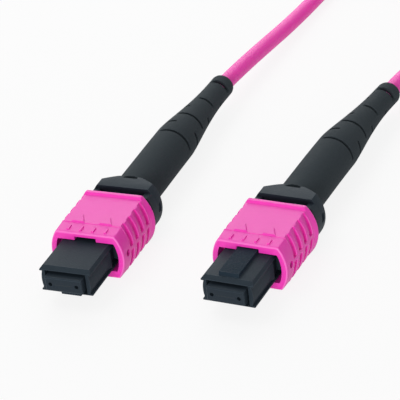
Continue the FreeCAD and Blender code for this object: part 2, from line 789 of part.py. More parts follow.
def build_boot(end):
    """Strain-relief boot: straight over the crimp, tapered down to the cable, with alternating slits."""
    body = new_body(f"strain_relief_boot_{end}")
    tip, bore = dim.boot_tip_dia / 2, dim.boot_bore / 2
    taper_front = boot_front_z + dim.boot_straight
    tail_front = taper_front + dim.boot_taper
    sketch = new_sketch(body, "YZ_Plane")
    outline(sketch, [(dim.boot_dia / 2, boot_front_z), (dim.boot_dia / 2, taper_front),
                     (tip, tail_front), (tip, boot_rear_z), (bore, boot_rear_z), (bore, boot_front_z)])
    add_revolution(body, sketch)
    # Cavity that takes the crimp ring's six flats
    sketch = new_sketch(body, "XY_Plane", boot_front_z)
    outline(sketch, crimp_corners())
    add_pocket(body, sketch, dim.stub_length)
    # Slits above and below, and others between them on both sides
    first = taper_front - dim.slit_lead
    rows = [
        ("XZ_Plane", range(SLIT_COUNT)),
        ("YZ_Plane", [place + 0.5 for place in range(SIDE_SLIT_COUNT)]),
    ]
    for role, places in rows:
        sketch = new_sketch(body, role, dim.slit_web / 2)
        for place in places:
            station = first + dim.slit_pitch * place
            box_outline(sketch, -dim.boot_dia, dim.boot_dia, station - dim.slit_width / 2,
                        station + dim.slit_width / 2)
        slits = add_pocket(body, sketch, dim.boot_dia)
        repeat_opposite(body, slits)
    return body


def build_cable_tail(end):
    """The stretch of cable jacket that the boot holds."""
    body = new_body(f"cable_tail_{end}")
    sketch = new_sketch(body, "XY_Plane", stub_rear_z)
    circle_outline(sketch, 0, 0, dim.cable_dia)
    add_pad(body, sketch, boot_rear_z - stub_rear_z)
    return body


def build_springs(end):
    """Ferrule spring round the ribbon, and a sleeve spring in each side channel."""
    springs = [wire_spring(f"ferrule_spring_{end}", dim.ferrule_spring_width, dim.ferrule_spring_height,
                           0.0, keeper_rear_z, dim.ferrule_spring_length, dim.ferrule_spring_wire,
                           FERRULE_SPRING_TURN_COUNT, FERRULE_SPRING_SIDE_COUNT)]
    across = dim.sleeve_spring_dia
    offset = sleeve_spring_x.value
    for side, centre_x in (("left", -offset), ("right", offset)):
        springs.append(wire_spring(f"sleeve_spring_{side}_{end}", across, across, centre_x, sleeve_spring_z,
                                   dim.sleeve_spring_length, dim.sleeve_spring_wire,
                                   SLEEVE_SPRING_TURN_COUNT, SLEEVE_SPRING_SIDE_COUNT))
    return springs


def build_connector(end):
    """All pieces of one connector, laid down at its place."""
    pieces = [build(end) for build in (
        build_ferrule, build_ferrule_boot, build_pin_keeper, build_ribbon, build_plug_frame, build_sleeve,
        build_rear_body, build_cable_tail)]
    for piece in pieces + build_springs(end):
        piece.setExpression("Placement", end_placement(end))
    lean = dim.boot_lean if end == "a" else -dim.boot_lean
    for piece in (build_crimp_ring(end), build_boot(end)):
        piece.setExpression("Placement", end_placement(end, lean))


# Cable outside the connectors


def lead_points(end):
    """Route of a free lead: the boot's tip, its bend on the floor, and the outermost turn of the coil."""
    side = -1 if end == "a" else 1
    yaw = math.radians(dim.end_yaw.value)
    reach = boot_rear_z.value
    tip = FreeCAD.Vector(side * (dim.end_spacing.value / 2 + reach * math.sin(yaw)),
                         (dim.end_stagger.value * side + reach * math.cos(yaw)) / 2,
                         dim.rim_height.value / 2)
    radius = dim.cable_dia / 2
    turn = dim.coil_radius + dim.coil_width / 2 - radius
    layer = dim.tie_thickness + (radius if end == "a" else dim.coil_height - radius)
    into_coil = FreeCAD.Vector((dim.coil_x + side * turn).value, (dim.coil_y - dim.lead_reach).value,
                               layer.value)
    return [tip, FreeCAD.Vector(*LEAD_BENDS[end]), into_coil]


def build_lead(end):
    """Free lead of the cable: straight runs joined by a tangent arc as large as the runs allow."""
    points = lead_points(end)
    edges = []
    start = points[0]
    radii = []
    for before, corner, after in zip(points, points[1:], points[2:]):
        inward, outward = corner - before, after - corner
        half_turn = inward.getAngle(outward) / 2
        setback = BEND_SHARE * min(inward.Length, outward.Length)
        radii.append(setback / math.tan(half_turn))
        inward.normalize()
        outward.normalize()
        arc_start, arc_end = corner - inward * setback, corner + outward * setback
        to_centre = (outward - inward).normalize()
        middle = corner + to_centre * radii[-1] * (1 / math.cos(half_turn) - 1)
        edges.append(Part.LineSegment(start, arc_start).toShape())
        edges.append(Part.Arc(arc_start, middle, arc_end).toShape())
        start = arc_end
    edges.append(Part.LineSegment(start, points[-1]).toShape())
    path = Part.Wire(edges)
    along = (points[1] - points[0]).normalize()
    radius = dim.cable_dia.value / 2
    section = Part.Wire([Part.makeCircle(radius, points[0], along)])
    tube = path.makePipeShell([section], True, True)
    print(f"cable_lead_{end}: length {path.Length:.1f}, radii", [round(radius) for radius in radii])
    expected = math.pi * radius ** 2 * path.Length
    if abs(tube.Volume / expected - 1) > 0.01:
        raise RuntimeError(f"cable_lead_{end} has volume {tube.Volume:.1f}, not {expected:.1f}")
    lead = doc.addObject("Part::Feature", f"cable_lead_{end}")
    lead.Label = f"cable_lead_{end}"
    lead.Shape = tube
    nodes[lead.Label] = lead


def coil_placement():
    """Formula of the coil's place on the floor."""
    base = f"create(<<vector>>; {dim.coil_x.text}; {dim.coil_y.text}; 0)"
    return f"create(<<placement>>; {base}; create(<<rotation>>; 90; 0; 0))"


def build_coil():
    """Outer shape of the put-away turns: a flat ring."""
    body = new_body("cable_coil")
    low, high = dim.tie_thickness, dim.tie_thickness + dim.coil_height
    inner, outer = dim.coil_radius - dim.coil_width / 2, dim.coil_radius + dim.coil_width / 2
    sketch = new_sketch(body, "XZ_Plane")
    box_outline(sketch, inner, outer, low, high)
    add_revolution(body, sketch)
    body.setExpression("Placement", coil_placement())
    doc.recompute()


def build_tie():
    """Strap round the coil's turns."""
    body = new_body("coil_tie")
    low, high = dim.tie_thickness, dim.tie_thickness + dim.coil_height
    inner, outer = dim.coil_radius - dim.coil_width / 2, dim.coil_radius + dim.coil_width / 2
    sketch = new_sketch(body, "XZ_Plane")
    box_outline(sketch, inner - dim.tie_thickness, outer + dim.tie_thickness, 0, high + dim.tie_thickness)
    box_outline(sketch, inner, outer, low, high)
    strap = body.newObject("PartDesign::Revolution", "coil_tie_strap")
    strap.Profile = sketch
    strap.ReferenceAxis = (sketch, ["V_Axis"])
    strap.Midplane = True
    bind(strap, "Angle", dim.tie_angle)
    body.setExpression("Placement", coil_placement())
    doc.recompute()


def check_and_write():
    """Stop on any failed object or bad solid, then write one file per node."""
    doc.recompute()
    for thing in doc.Objects:
        if "Invalid" in thing.State or "Error" in thing.State:
            raise RuntimeError(f"{thing.Name} failed: {thing.State}")
    for name, thing in nodes.items():
        shape = thing.Shape
        if shape.isNull() or not shape.isValid() or not shape.Solids:
            raise RuntimeError(f"{name} is not a valid solid")
        if thing.Label != name:
            raise RuntimeError(f"{name} has the label {thing.Label}")
    os.makedirs("parts", exist_ok=True)
    for name, thing in nodes.items():
        thing.Shape.exportStep(os.path.join("parts", f"{name}.step"))
        print(f"{name}: {thing.Shape.Volume:.2f} mm3, {len(thing.Shape.Solids)} solid(s)")


for connector_end in ("a", "b"):
    build_connector(connector_end)
    build_lead(connector_end)
build_coil()
build_tie()
check_and_write()
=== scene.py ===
"""Patch cable with a push-pull multi-fibre connector on each end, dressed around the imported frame.

Sizes are in millimetres in each connector's own frame: z runs from the ferrule's face back along the
cable, y points to the key's side and x across. Points become metres in the shared frame at the end.
"""

import json
import logging
import math
from collections.abc import Iterable, Sequence
from dataclasses import dataclass, field
from enum import Enum, IntEnum
from typing import ClassVar

import bmesh
import bpy
from mathutils import Matrix, Vector

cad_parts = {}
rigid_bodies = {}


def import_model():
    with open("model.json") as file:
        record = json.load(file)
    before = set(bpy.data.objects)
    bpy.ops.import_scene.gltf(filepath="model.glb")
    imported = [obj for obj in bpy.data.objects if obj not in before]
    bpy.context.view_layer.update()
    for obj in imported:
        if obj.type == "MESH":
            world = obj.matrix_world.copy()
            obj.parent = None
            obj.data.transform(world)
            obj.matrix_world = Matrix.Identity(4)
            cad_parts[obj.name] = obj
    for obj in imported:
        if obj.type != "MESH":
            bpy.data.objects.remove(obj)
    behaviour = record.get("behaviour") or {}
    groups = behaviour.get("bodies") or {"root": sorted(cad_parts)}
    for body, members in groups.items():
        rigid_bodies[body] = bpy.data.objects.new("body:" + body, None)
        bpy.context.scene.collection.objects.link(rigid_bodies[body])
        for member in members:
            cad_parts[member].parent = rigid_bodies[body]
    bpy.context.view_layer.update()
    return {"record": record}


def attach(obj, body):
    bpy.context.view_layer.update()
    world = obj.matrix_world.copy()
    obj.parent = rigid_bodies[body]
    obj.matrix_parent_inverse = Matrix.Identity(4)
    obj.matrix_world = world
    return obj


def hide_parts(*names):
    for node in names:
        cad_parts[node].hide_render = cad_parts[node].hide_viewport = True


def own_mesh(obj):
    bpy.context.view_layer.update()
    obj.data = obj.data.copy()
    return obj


LOG = logging.getLogger("patch_cable")
MM = 0.001
CABLE_BODY = "cable"
FULL_TURN = 2 * math.pi

Colour = tuple[float, float, float, float]
Point = tuple[float, float]
Span = tuple[float, float]
Place = tuple[float, float, float]
Ring = list[Vector]

WHITE: Colour = (1.0, 1.0, 1.0, 1.0)
# Degrees over which an edge stays sharp, for hard pieces and for round wire
SHARP_EDGE = 35.0
SHARP_WIRE = 60.0


class End(Enum):
    """The two ends of the cable: one lies key down, the other key up."""

    KEY_DOWN = "a"
    KEY_UP = "b"


class Side(Enum):
    """The two sides of a connector."""

    LEFT = "left"
    RIGHT = "right"


class Face(IntEnum):
    """Places of a piece's finishes: on its body, on its rounded edges, whose lighter finish is a painted
    highlight, and on the plug's key.
    """

    BODY = 0
    EDGE = 1
    KEY = 2


def smooth(share: float) -> float:
    """Smooth step of a share, held at 0 and 1 outside."""
    held = min(max(share, 0.0), 1.0)
    return held * held * (3 - 2 * held)


def round_steps(sides: int) -> list[Point]:
    """Cosine and sine at even steps round a circle."""
    turns = [FULL_TURN * side / sides for side in range(sides)]
    return [(math.cos(turn), math.sin(turn)) for turn in turns]


def paint_colour(red: int, green: int, blue: int) -> Colour:
    """A colour as it looks on a screen, as the linear colour that shaders take.

    Args:
        red: Red, from 0 to 255.
        green: Green, from 0 to 255.
        blue: Blue, from 0 to 255.

    Returns:
        The linear colour with full alpha.
    """
    parts = []
    for part in (red, green, blue):
        share = part / 255
        # The screen's curve: straight near black, then a power
        parts.append(share / 12.92 if share <= 0.04045 else ((share + 0.055) / 1.055) ** 2.4)
    return (parts[0], parts[1], parts[2], 1.0)


# Shader maths


class Value:
    """A number that varies over a surface: one socket, whose operators add Math nodes."""

    def __init__(self, surface: "Surface", socket: bpy.types.NodeSocket) -> None:
        """Keep the surface that owns the nodes, and the socket."""
        self.surface = surface
        self.socket = socket

    def _math(self, operation: str, first: "Operand", second: "Operand") -> "Value":
        """The result of one Math node on two numbers or values."""
        node = self.surface.node("ShaderNodeMath", {"operation": operation}, {0: first, 1: second})
        return Value(self.surface, node.outputs[0])

    def __add__(self, other: "Operand") -> "Value":
        """Sum."""
        return self._math("ADD", self, other)

    def __radd__(self, other: "Operand") -> "Value":
        """Sum with a plain number first."""
        return self._math("ADD", other, self)

    def __sub__(self, other: "Operand") -> "Value":
        """Difference."""
        return self._math("SUBTRACT", self, other)

    def __rsub__(self, other: "Operand") -> "Value":
        """Difference from a plain number."""
        return self._math("SUBTRACT", other, self)

    def __mul__(self, other: "Operand") -> "Value":
        """Product."""
        return self._math("MULTIPLY", self, other)

    def __rmul__(self, other: "Operand") -> "Value":
        """Product with a plain number first."""
        return self._math("MULTIPLY", other, self)

    def __pow__(self, other: "Operand") -> "Value":
        """Power."""
        return self._math("POWER", self, other)

    def at_most(self, other: "Operand") -> "Value":
        """The smaller of two values."""
        return self._math("MINIMUM", self, other)

    def ranged(self, low: float, high: float) -> "Value":
        """This share of 0 to 1, spread from low to high."""
        return self * (high - low) + low


Operand = Value | float | int
Input = Value | bpy.types.NodeSocket | float | int | Sequence[float]


class Surface:
    """The node tree of one material or of the world, and the shapes of node that finishes share."""

    def __init__(self, tree: bpy.types.NodeTree) -> None:
        """Start from an empty tree."""
        self.tree = tree
        tree.nodes.clear()

    @staticmethod
    def _socket(sockets: Iterable[bpy.types.NodeSocket], key: str | int) -> bpy.types.NodeSocket:
        """A socket by its place, its identifier or its name.

        Args:
            sockets: A node's inputs or outputs.
            key: The place, identifier or name.

        Returns:
            The socket.
        """
        listed = list(sockets)
        if isinstance(key, int):
            return listed[key]
        for socket in listed:
            if socket.identifier == key:
                return socket
        return next(socket for socket in listed if socket.name == key)

    def node(self, kind: str, settings: dict | None = None, inputs: dict | None = None) -> bpy.types.Node:
        """Add a node.

        Args:
            kind: The node's type.
            settings: Its settings, set first.
            inputs: Values or links of its sockets, by place, identifier or name.

        Returns:
            The new node.
        """
        node = self.tree.nodes.new(kind)
        for key, setting in (settings or {}).items():
            setattr(node, key, setting)
        for key, given in (inputs or {}).items():
            socket = self._socket(node.inputs, key)
            if isinstance(given, Value):
                self.tree.links.new(given.socket, socket)
            elif isinstance(given, bpy.types.NodeSocket):
                self.tree.links.new(given, socket)
            else:
                socket.default_value = given
        return node

    def value(self, node: bpy.types.Node, key: str | int) -> Value:
        """One output of a node as a value."""
        return Value(self, self._socket(node.outputs, key))

    def place(self) -> bpy.types.NodeSocket:
        """Where a point lies on its piece, in metres."""
        return self.node("ShaderNodeTexCoord").outputs["Object"]

    def noise(self, size: float, detail: float = 2.0, stretch: Sequence[float] = (1, 1, 1)) -> Value:
        """Cloudy variation from 0 to 1.

        Args:
            size: Size of its features in millimetres.
            detail: Number of finer layers.
            stretch: Scale along each direction before the noise is read.

        Returns:
            The noise's factor.
        """
        moved = self.node("ShaderNodeMapping", None, {"Vector": self.place(), "Scale": stretch})
        settings = {"Vector": moved.outputs[0], "Scale": 1 / (size * MM), "Detail": detail}
        return self.value(self.node("ShaderNodeTexNoise", None, settings), "Fac")

    def mixed(self, share: Operand, first: Input, second: Input) -> bpy.types.NodeSocket:
        """A colour between two others.

        Args:
            share: How much of the second colour shows.
            first: First colour.
            second: Second colour.

        Returns:
            The mixed colour's socket.
        """
        inputs = {"Factor_Float": share, "A_Color": first, "B_Color": second}
        node = self.node("ShaderNodeMix", {"data_type": "RGBA"}, inputs)
        return self._socket(node.outputs, "Result_Color")

    def bump(self, height: Value, depth: float) -> bpy.types.NodeSocket:
        """A relief of the given depth in millimetres, for a Normal socket."""
        node = self.node("ShaderNodeBump", None, {"Height": height, "Distance": depth * MM})
        return node.outputs["Normal"]

    def principled(self, inputs: dict) -> None:
        """Finish the tree with one principled shader."""
        shader = self.node("ShaderNodeBsdfPrincipled", None, inputs)
        self.node("ShaderNodeOutputMaterial", None, {"Surface": shader.outputs[0]})

    def seen(self) -> Value:
        """Where the camera, a reflection or a clear piece sees the background.

        Returns:
            1 there, and 0 elsewhere.
        """
        path = self.node("ShaderNodeLightPath")
        rays = [self.value(path, f"Is {ray} Ray") for ray in ("Camera", "Glossy", "Transmission")]
        return (rays[0] + rays[1] + rays[2]).at_most(1.0)

    def split(self, share: Value, lit: bpy.types.Node, shown: bpy.types.Node, output: str) -> None:
        """Finish the tree with one shader that lights the scene and another that is seen.

        Args:
            share: How much of the second shader shows.
            lit: The shader that gives and takes light.
            shown: The shader that is seen.
            output: Type of the tree's output node.
        """
        inputs = {0: share, 1: lit.outputs[0], 2: shown.outputs[0]}
        mix = self.node("ShaderNodeMixShader", None, inputs)
        self.node(output, None, {"Surface": mix.outputs[0]})


# Finishes

# How far each colour of light spreads under the magenta pieces' skin, against the others
MAGENTA_GLOW: Place = (1.0, 0.25, 0.6)


@dataclass(frozen=True)
class Finish:
    """What every finish has: its own name and the record's slot that it stands for."""

    name: str
    slot: str

    def paint(self, surface: Surface) -> None:
        """Draw the finish's nodes."""
        raise NotImplementedError

    def material(self) -> bpy.types.Material:
        """The finish's material, made once.

        Returns:
            The material.
        """
        made = bpy.data.materials.get(self.name)
        if made is None:
            made = bpy.data.materials.new(self.name)
            made.use_nodes = True
            self.paint(Surface(made.node_tree))
        return made

    def dress(self, piece: bpy.types.Object, *others: "Finish") -> None:
        """Give a piece this finish, in place of any other.

        Args:
            piece: The piece.
            others: Finishes that some of its faces take, as its second material and on.
        """
        piece.data.materials.clear()
        for finish in (self, *others):
            piece.data.materials.append(finish.material())


@dataclass(frozen=True)
class MouldedPlastic(Finish):
    """Spark-eroded moulded plastic: fine grain, faint flow marks and an uneven satin gloss."""

    colour: Colour
    shade: Colour
    roughness: float = 0.5
    uneven: float = 0.07
    grain: float = 0.3
    grain_depth: float = 0.006
    speck_grains: float = 3
    flow_size: float = 6.0
    flow_share: float = 0.6
    flow_dulling: float = 0.05
    glow: float = 0.0
    glow_depth: float = 0.6
    gloss: float = 0.5
    tint: Colour = WHITE

    def paint(self, surface: Surface) -> None:
        """Draw the finish's nodes.

        Args:
            surface: The material's nodes.
        """
        flow = surface.noise(self.flow_size, detail=3.0)
        grain = surface.noise(self.grain, detail=3.0)
        speck = surface.noise(self.grain * self.speck_grains, detail=1.0)
        share = (flow * self.flow_share + speck * (1 - self.flow_share)).at_most(1.0)
        gloss = grain.ranged(self.roughness - self.uneven, self.roughness + self.uneven)
        inputs = {
            "Base Color": surface.mixed(share, self.shade, self.colour),
            "Roughness": gloss + flow * self.flow_dulling,
            "Normal": surface.bump(grain, self.grain_depth),
            "Specular IOR Level": self.gloss,
            "Specular Tint": self.tint,
        }
        if self.glow:
            inputs["Subsurface Weight"] = self.glow
            inputs["Subsurface Radius"] = MAGENTA_GLOW
            inputs["Subsurface Scale"] = self.glow_depth * MM
        surface.principled(inputs)


@dataclass(frozen=True)
class MouldedRubber(Finish):
    """Soft black rubber: matt, mottled and finely grained, with a faint cool gloss."""

    colour: Colour
    shade: Colour
    roughness: float = 0.82
    uneven: float = 0.08
    mottle: float = 2.2
    mottle_share: float = 0.5
    grain: float = 0.4
    grain_depth: float = 0.04
    gloss: float = 0.16
    tint: Colour = (0.86, 0.98, 1.0, 1.0)

    def paint(self, surface: Surface) -> None:
        """Draw the finish's nodes.

        Args:
            surface: The material's nodes.
        """
        mottle = surface.noise(self.mottle, detail=4.0)
        grain = surface.noise(self.grain)
        share = mottle * self.mottle_share + grain * (1 - self.mottle_share)
        surface.principled({
            "Base Color": surface.mixed(share, self.shade, self.colour),
            "Roughness": mottle.ranged(self.roughness - self.uneven, self.roughness + self.uneven),
            "Normal": surface.bump(grain, self.grain_depth),
            "Specular IOR Level": self.gloss,
            "Specular Tint": self.tint,
        })


@dataclass(frozen=True)
class FilledResin(Finish):
    """Dark resin filled with glass: pale specks in a smooth ground face."""

    colour: Colour
    speck: Colour
    speck_pitch: float = 0.22
    speck_crispness: float = 8
    speck_share: float = 0.2
    roughness: Span = (0.44, 0.6)
    grain: float = 0.2
    grain_depth: float = 0.003
    gloss: float = 0.13
    tint: Colour = (0.82, 0.95, 1.0, 1.0)

    def paint(self, surface: Surface) -> None:
        """Draw the finish's nodes.

        Args:
            surface: The material's nodes.
        """
        inputs = {"Vector": surface.place(), "Scale": 1 / (self.speck_pitch * MM)}
        cells = surface.node("ShaderNodeTexVoronoi", None, inputs)
        specks = (1 - surface.value(cells, "Distance")) ** self.speck_crispness
        grain = surface.noise(self.grain, detail=3.0)
        surface.principled({
            "Base Color": surface.mixed(specks * self.speck_share, self.colour, self.speck),
            "Roughness": grain.ranged(*self.roughness),
            "Normal": surface.bump(grain, self.grain_depth),
            "Specular IOR Level": self.gloss,
            "Specular Tint": self.tint,
        })


@dataclass(frozen=True)
class CableJacket(Finish):
    """Extruded jacket: soft satin skin, finely uneven, with an uneven tint."""

    colour: Colour
    shade: Colour
    roughness: Span = (0.39, 0.53)
    tint_size: float = 5.0
    skin: float = 0.5
    skin_depth: float = 0.003
    gloss: float = 0.35
    glow: float = 0.08
    glow_depth: float = 0.5

    def paint(self, surface: Surface) -> None:
        """Draw the finish's nodes.

        Args:
            surface: The material's nodes.
        """
        tint = surface.noise(self.tint_size)
        skin = surface.noise(self.skin, detail=3.0)
        surface.principled({
            "Base Color": surface.mixed(tint, self.shade, self.colour),
            "Roughness": skin.ranged(*self.roughness),
            "Normal": surface.bump(skin, self.skin_depth),
            "Specular IOR Level": self.gloss,
            "Subsurface Weight": self.glow,
            "Subsurface Radius": MAGENTA_GLOW,
            "Subsurface Scale": self.glow_depth * MM,
        })


@dataclass(frozen=True)
class DrawnMetal(Finish):
    """Metal drawn through a die or plated: bright, with fine lines and dull patches."""

    colour: Colour
    dull: Colour
    roughness: Span
    line: float = 0.12
    line_stretch: Place = (1, 0.1, 1)
    line_depth: float = 0.002
    patch: float = 1.6
    patch_share: float = 0.5

    def paint(self, surface: Surface) -> None:
        """Draw the finish's nodes.

        Args:
            surface: The material's nodes.
        """
        lines = surface.noise(self.line, stretch=self.line_stretch)
        patches = surface.noise(self.patch, detail=3.0)
        surface.principled({
            "Base Color": surface.mixed(patches * self.patch_share, self.colour, self.dull),
            "Metallic": 1.0,
            "Roughness": lines.ranged(*self.roughness),
            "Normal": surface.bump(lines, self.line_depth),
        })


@dataclass(frozen=True)
class CoatedFibre(Finish):
    """Fibre under its coating: glossy, with an uneven tint drawn out along the fibre."""

    colour: Colour
    shade: Colour
    roughness: Span = (0.22, 0.36)
    streak: float = 0.25
    streak_stretch: Place = (1, 0.05, 1)
    streak_depth: float = 0.002

    def paint(self, surface: Surface) -> None:
        """Draw the finish's nodes.

        Args:
            surface: The material's nodes.
        """
        streaks = surface.noise(self.streak, stretch=self.streak_stretch)
        surface.principled({
            "Base Color": surface.mixed(streaks, self.shade, self.colour),
            "Roughness": streaks.ranged(*self.roughness),
            "Normal": surface.bump(streaks, self.streak_depth),
        })


@dataclass(frozen=True)
class LoopStrap(Finish):
    """Woven hook-and-loop strap: crossed threads with a nap."""

    colour: Colour
    shade: Colour
    roughness: Span = (0.8, 0.95)
    thread: float = 0.35
    bands_per_unit: float = 0.31
    unevenness: float = 0.6
    nap: float = 0.15
    nap_share: float = 0.3
    depth: float = 0.09
    sheen: float = 0.3

    def paint(self, surface: Surface) -> None:
        """Draw the finish's nodes.

        Args:
            surface: The material's nodes.
        """
        scale = self.bands_per_unit / (self.thread * MM)
        inputs = {"Vector": surface.place(), "Scale": scale, "Distortion": self.unevenness}
        threads = []
        for direction in ("X", "DIAGONAL"):
            settings = {"wave_type": "BANDS", "bands_direction": direction}
            node = surface.node("ShaderNodeTexWave", settings, inputs)
            threads.append(surface.value(node, "Fac"))
        nap = surface.noise(self.nap)
        cloth = threads[0] * threads[1] * (1 - self.nap_share) + nap * self.nap_share
        surface.principled({
            "Base Color": surface.mixed(cloth, self.shade, self.colour),
            "Roughness": nap.ranged(*self.roughness),
            "Normal": surface.bump(cloth, self.depth),
            "Sheen Weight": self.sheen,
        })


COOL_GLOSS: Colour = (0.78, 0.93, 1.0, 1.0)
MAGENTA_SLEEVE = MouldedPlastic(
    name="magenta_sleeve", slot="sleeve",
    colour=paint_colour(245, 54, 186), shade=paint_colour(238, 46, 176),
    roughness=0.44, grain=0.25, grain_depth=0.004, glow=0.08)
# Lighter magenta on the sleeve's rounded edges and ribs' front edges: a painted highlight
MAGENTA_HIGHLIGHT = MouldedPlastic(
    name="magenta_painted_highlight", slot="sleeve",
    colour=paint_colour(252, 112, 204), shade=paint_colour(250, 104, 199),
    roughness=0.4, grain=0.25, grain_depth=0.004, glow=0.08)
CHARCOAL_HOUSING = MouldedPlastic(
    name="charcoal_housing", slot="housing",
    colour=paint_colour(37, 46, 54), shade=paint_colour(28, 36, 44),
    roughness=0.56, grain_depth=0.03, gloss=0.17, tint=COOL_GLOSS)
# Lighter charcoal on the housing's rounded edges: a painted highlight
CHARCOAL_HIGHLIGHT = MouldedPlastic(
    name="charcoal_painted_highlight", slot="housing",
    colour=paint_colour(74, 84, 94), shade=paint_colour(62, 72, 82),
    grain_depth=0.02, gloss=0.2, tint=COOL_GLOSS)
KEY_GRAIN = MouldedPlastic(
    name="key_grain", slot="housing",
    colour=paint_colour(34, 46, 57), shade=paint_colour(20, 30, 40),
    roughness=0.7, grain=0.4, grain_depth=0.16, gloss=0.14, tint=(0.7, 0.92, 1.0, 1.0))
FERRULE_RESIN = FilledResin(
    name="ferrule_resin", slot="ferrule",
    colour=paint_colour(34, 42, 50), speck=paint_colour(78, 88, 98))
# Lighter resin on the ferrule's rounded edges: a painted highlight
RESIN_HIGHLIGHT = FilledResin(
    name="resin_painted_highlight", slot="ferrule",
    colour=paint_colour(50, 59, 68), speck=paint_colour(78, 88, 98))
BOOT_RUBBER = MouldedRubber(
    name="boot_rubber", slot="rubber",
    colour=paint_colour(53, 60, 65), shade=paint_colour(42, 48, 52))
SOFT_RUBBER = MouldedRubber(
    name="soft_rubber", slot="soft_boot",
    colour=paint_colour(44, 46, 48), shade=paint_colour(30, 32, 34), roughness=0.7)
KEEPER_PLASTIC = MouldedPlastic(
    name="keeper_plastic", slot="keeper",
    colour=paint_colour(66, 68, 70), shade=paint_colour(52, 54, 56))
SPRING_STEEL = DrawnMetal(
    name="spring_steel", slot="spring",
    colour=paint_colour(205, 205, 208), dull=paint_colour(150, 150, 152), roughness=(0.2, 0.4))
CRIMP_BRASS = DrawnMetal(
    name="crimp_brass", slot="crimp",
    colour=paint_colour(214, 196, 150), dull=paint_colour(168, 150, 108), roughness=(0.24, 0.44))
FIBRE_COATING = CoatedFibre(
    name="fibre_coating", slot="fibre",
    colour=paint_colour(150, 205, 215), shade=paint_colour(96, 160, 176))
FIBRE_GLASS = CoatedFibre(
    name="fibre_glass", slot="fibre",
    colour=paint_colour(24, 30, 36), shade=paint_colour(18, 23, 28))
MAGENTA_JACKET = CableJacket(
    name="magenta_jacket", slot="jacket",
    colour=paint_colour(249, 62, 184), shade=paint_colour(242, 54, 175))
BLACK_STRAP = LoopStrap(
    name="black_strap", slot="strap",
    colour=paint_colour(46, 46, 50), shade=paint_colour(18, 18, 20))


# Meshes


class MeshBuilder:
    """Collects points in millimetres and faces, and turns them into one piece."""

    def __init__(self) -> None:
        """Start empty."""
        self.points: list[Vector] = []
        self.faces: list[tuple[int, ...]] = []

    def loft(self, rings: Sequence[Ring], looped: bool = False, capped: bool = False) -> None:
        """Skin rings of equal count.

        Args:
            rings: Rings of points, in order.
            looped: Whether the last ring joins the first.
            capped: Whether the two ends are closed by a face.
        """
        base, count = len(self.points), len(rings[0])
        for ring in rings:
            self.points.extend(ring)
        spans = len(rings) if looped else len(rings) - 1
        for span in range(spans):
            low, high = base + span * count, base + (span + 1) % len(rings) * count
            for place in range(count):
                after = (place + 1) % count
                self.faces.append((low + place, low + after, high + after, high + place))
        if capped:
            last = base + (len(rings) - 1) * count
            self.faces.append(tuple(range(base, base + count)))
            self.faces.append(tuple(range(last, last + count)))

    def raised(self, outline: Sequence[Point], floor: Sequence[float], rise: float, slope: float,
               root: float = 0.3) -> None:
        """A low raised shape with sloping sides, standing along y on a surface.

        Args:
            outline: Its corners as x and z.
            floor: Height of the surface under each corner.
            rise: How far it stands up; negative stands down.
            slope: How far its top's corners are drawn in.
            root: How far it reaches into the surface.
        """
        middle_x = sum(x for x, _ in outline) / len(outline)
        middle_z = sum(z for _, z in outline) / len(outline)
        rings = []
        for height, inset in ((-math.copysign(root, rise), 0.0), (0.0, 0.0), (rise, slope)):
            ring = []
            for (x, z), under in zip(outline, floor):
                reach = math.hypot(x - middle_x, z - middle_z)
                keep = 1 - inset / reach
                ring.append(Vector((middle_x + (x - middle_x) * keep, under + height,
                                    middle_z + (z - middle_z) * keep)))
            rings.append(ring)
        self.loft(rings, capped=True)

    def tube(self, path: Sequence[Vector], radius: float, sides: int) -> None:
        """A round tube along a path, closed at both ends.

        Args:
            path: Points of its middle line.
            radius: Its radius.
            sides: Points round it.
        """
        rings = []
        across = Vector((0, 0, 1))
        for place, point in enumerate(path):
            along = path[min(place + 1, len(path) - 1)] - path[max(place - 1, 0)]
            along.normalize()
            first = along.cross(across).normalized()
            second = along.cross(first)
            rings.append([point + radius * (first * cos + second * sin) for cos, sin in round_steps(sides)])
        self.loft(rings, capped=True)

    def piece(self, name: str, matrix: Matrix, sharp: float = SHARP_EDGE) -> bpy.types.Object:
        """Make the piece.

        Args:
            name: Its name.
            matrix: From the points' millimetres to the shared frame's metres.
            sharp: Edges turning more than this many degrees stay sharp.

        Returns:
            The new object, in the scene.
        """
        mesh = bpy.data.meshes.new(name)
        mesh.from_pydata([matrix @ point for point in self.points], [], self.faces)
        return finished_piece(name, mesh, sharp)


def finished_piece(name: str, mesh: bpy.types.Mesh, sharp: float) -> bpy.types.Object:
    """Turn a mesh's faces outwards, shade it and put it in the scene.

    Args:
        name: The piece's name.
        mesh: Its mesh.
        sharp: Edges turning more than this many degrees stay sharp.

    Returns:
        The new object.
    """
    work = bmesh.new()
    work.from_mesh(mesh)
    bmesh.ops.recalc_face_normals(work, faces=work.faces)
    work.to_mesh(mesh)
    work.free()
    shade(mesh, sharp)
    piece = bpy.data.objects.new(name, mesh)
    bpy.context.scene.collection.objects.link(piece)
    return piece


def shade(mesh: bpy.types.Mesh, sharp: float) -> None:
    """Shade a mesh smoothly.

    Args:
        mesh: The mesh.
        sharp: Edges turning more than this many degrees stay sharp.
    """
    mesh.polygons.foreach_set("use_smooth", [True] * len(mesh.polygons))
    mesh.set_sharp_from_angle(angle=math.radians(sharp))
    mesh.update()


def apply_modifiers(piece: bpy.types.Object, sharp: float) -> None:
    """Put a piece's modifiers into its mesh, and shade it again.

    Args:
        piece: The piece.
        sharp: Edges turning more than this many degrees stay sharp.
    """
    depsgraph = bpy.context.evaluated_depsgraph_get()
    mesh = bpy.data.meshes.new_from_object(piece.evaluated_get(depsgraph))
    piece.modifiers.clear()
    old, piece.data = piece.data, mesh
    bpy.data.meshes.remove(old)
    shade(mesh, sharp)


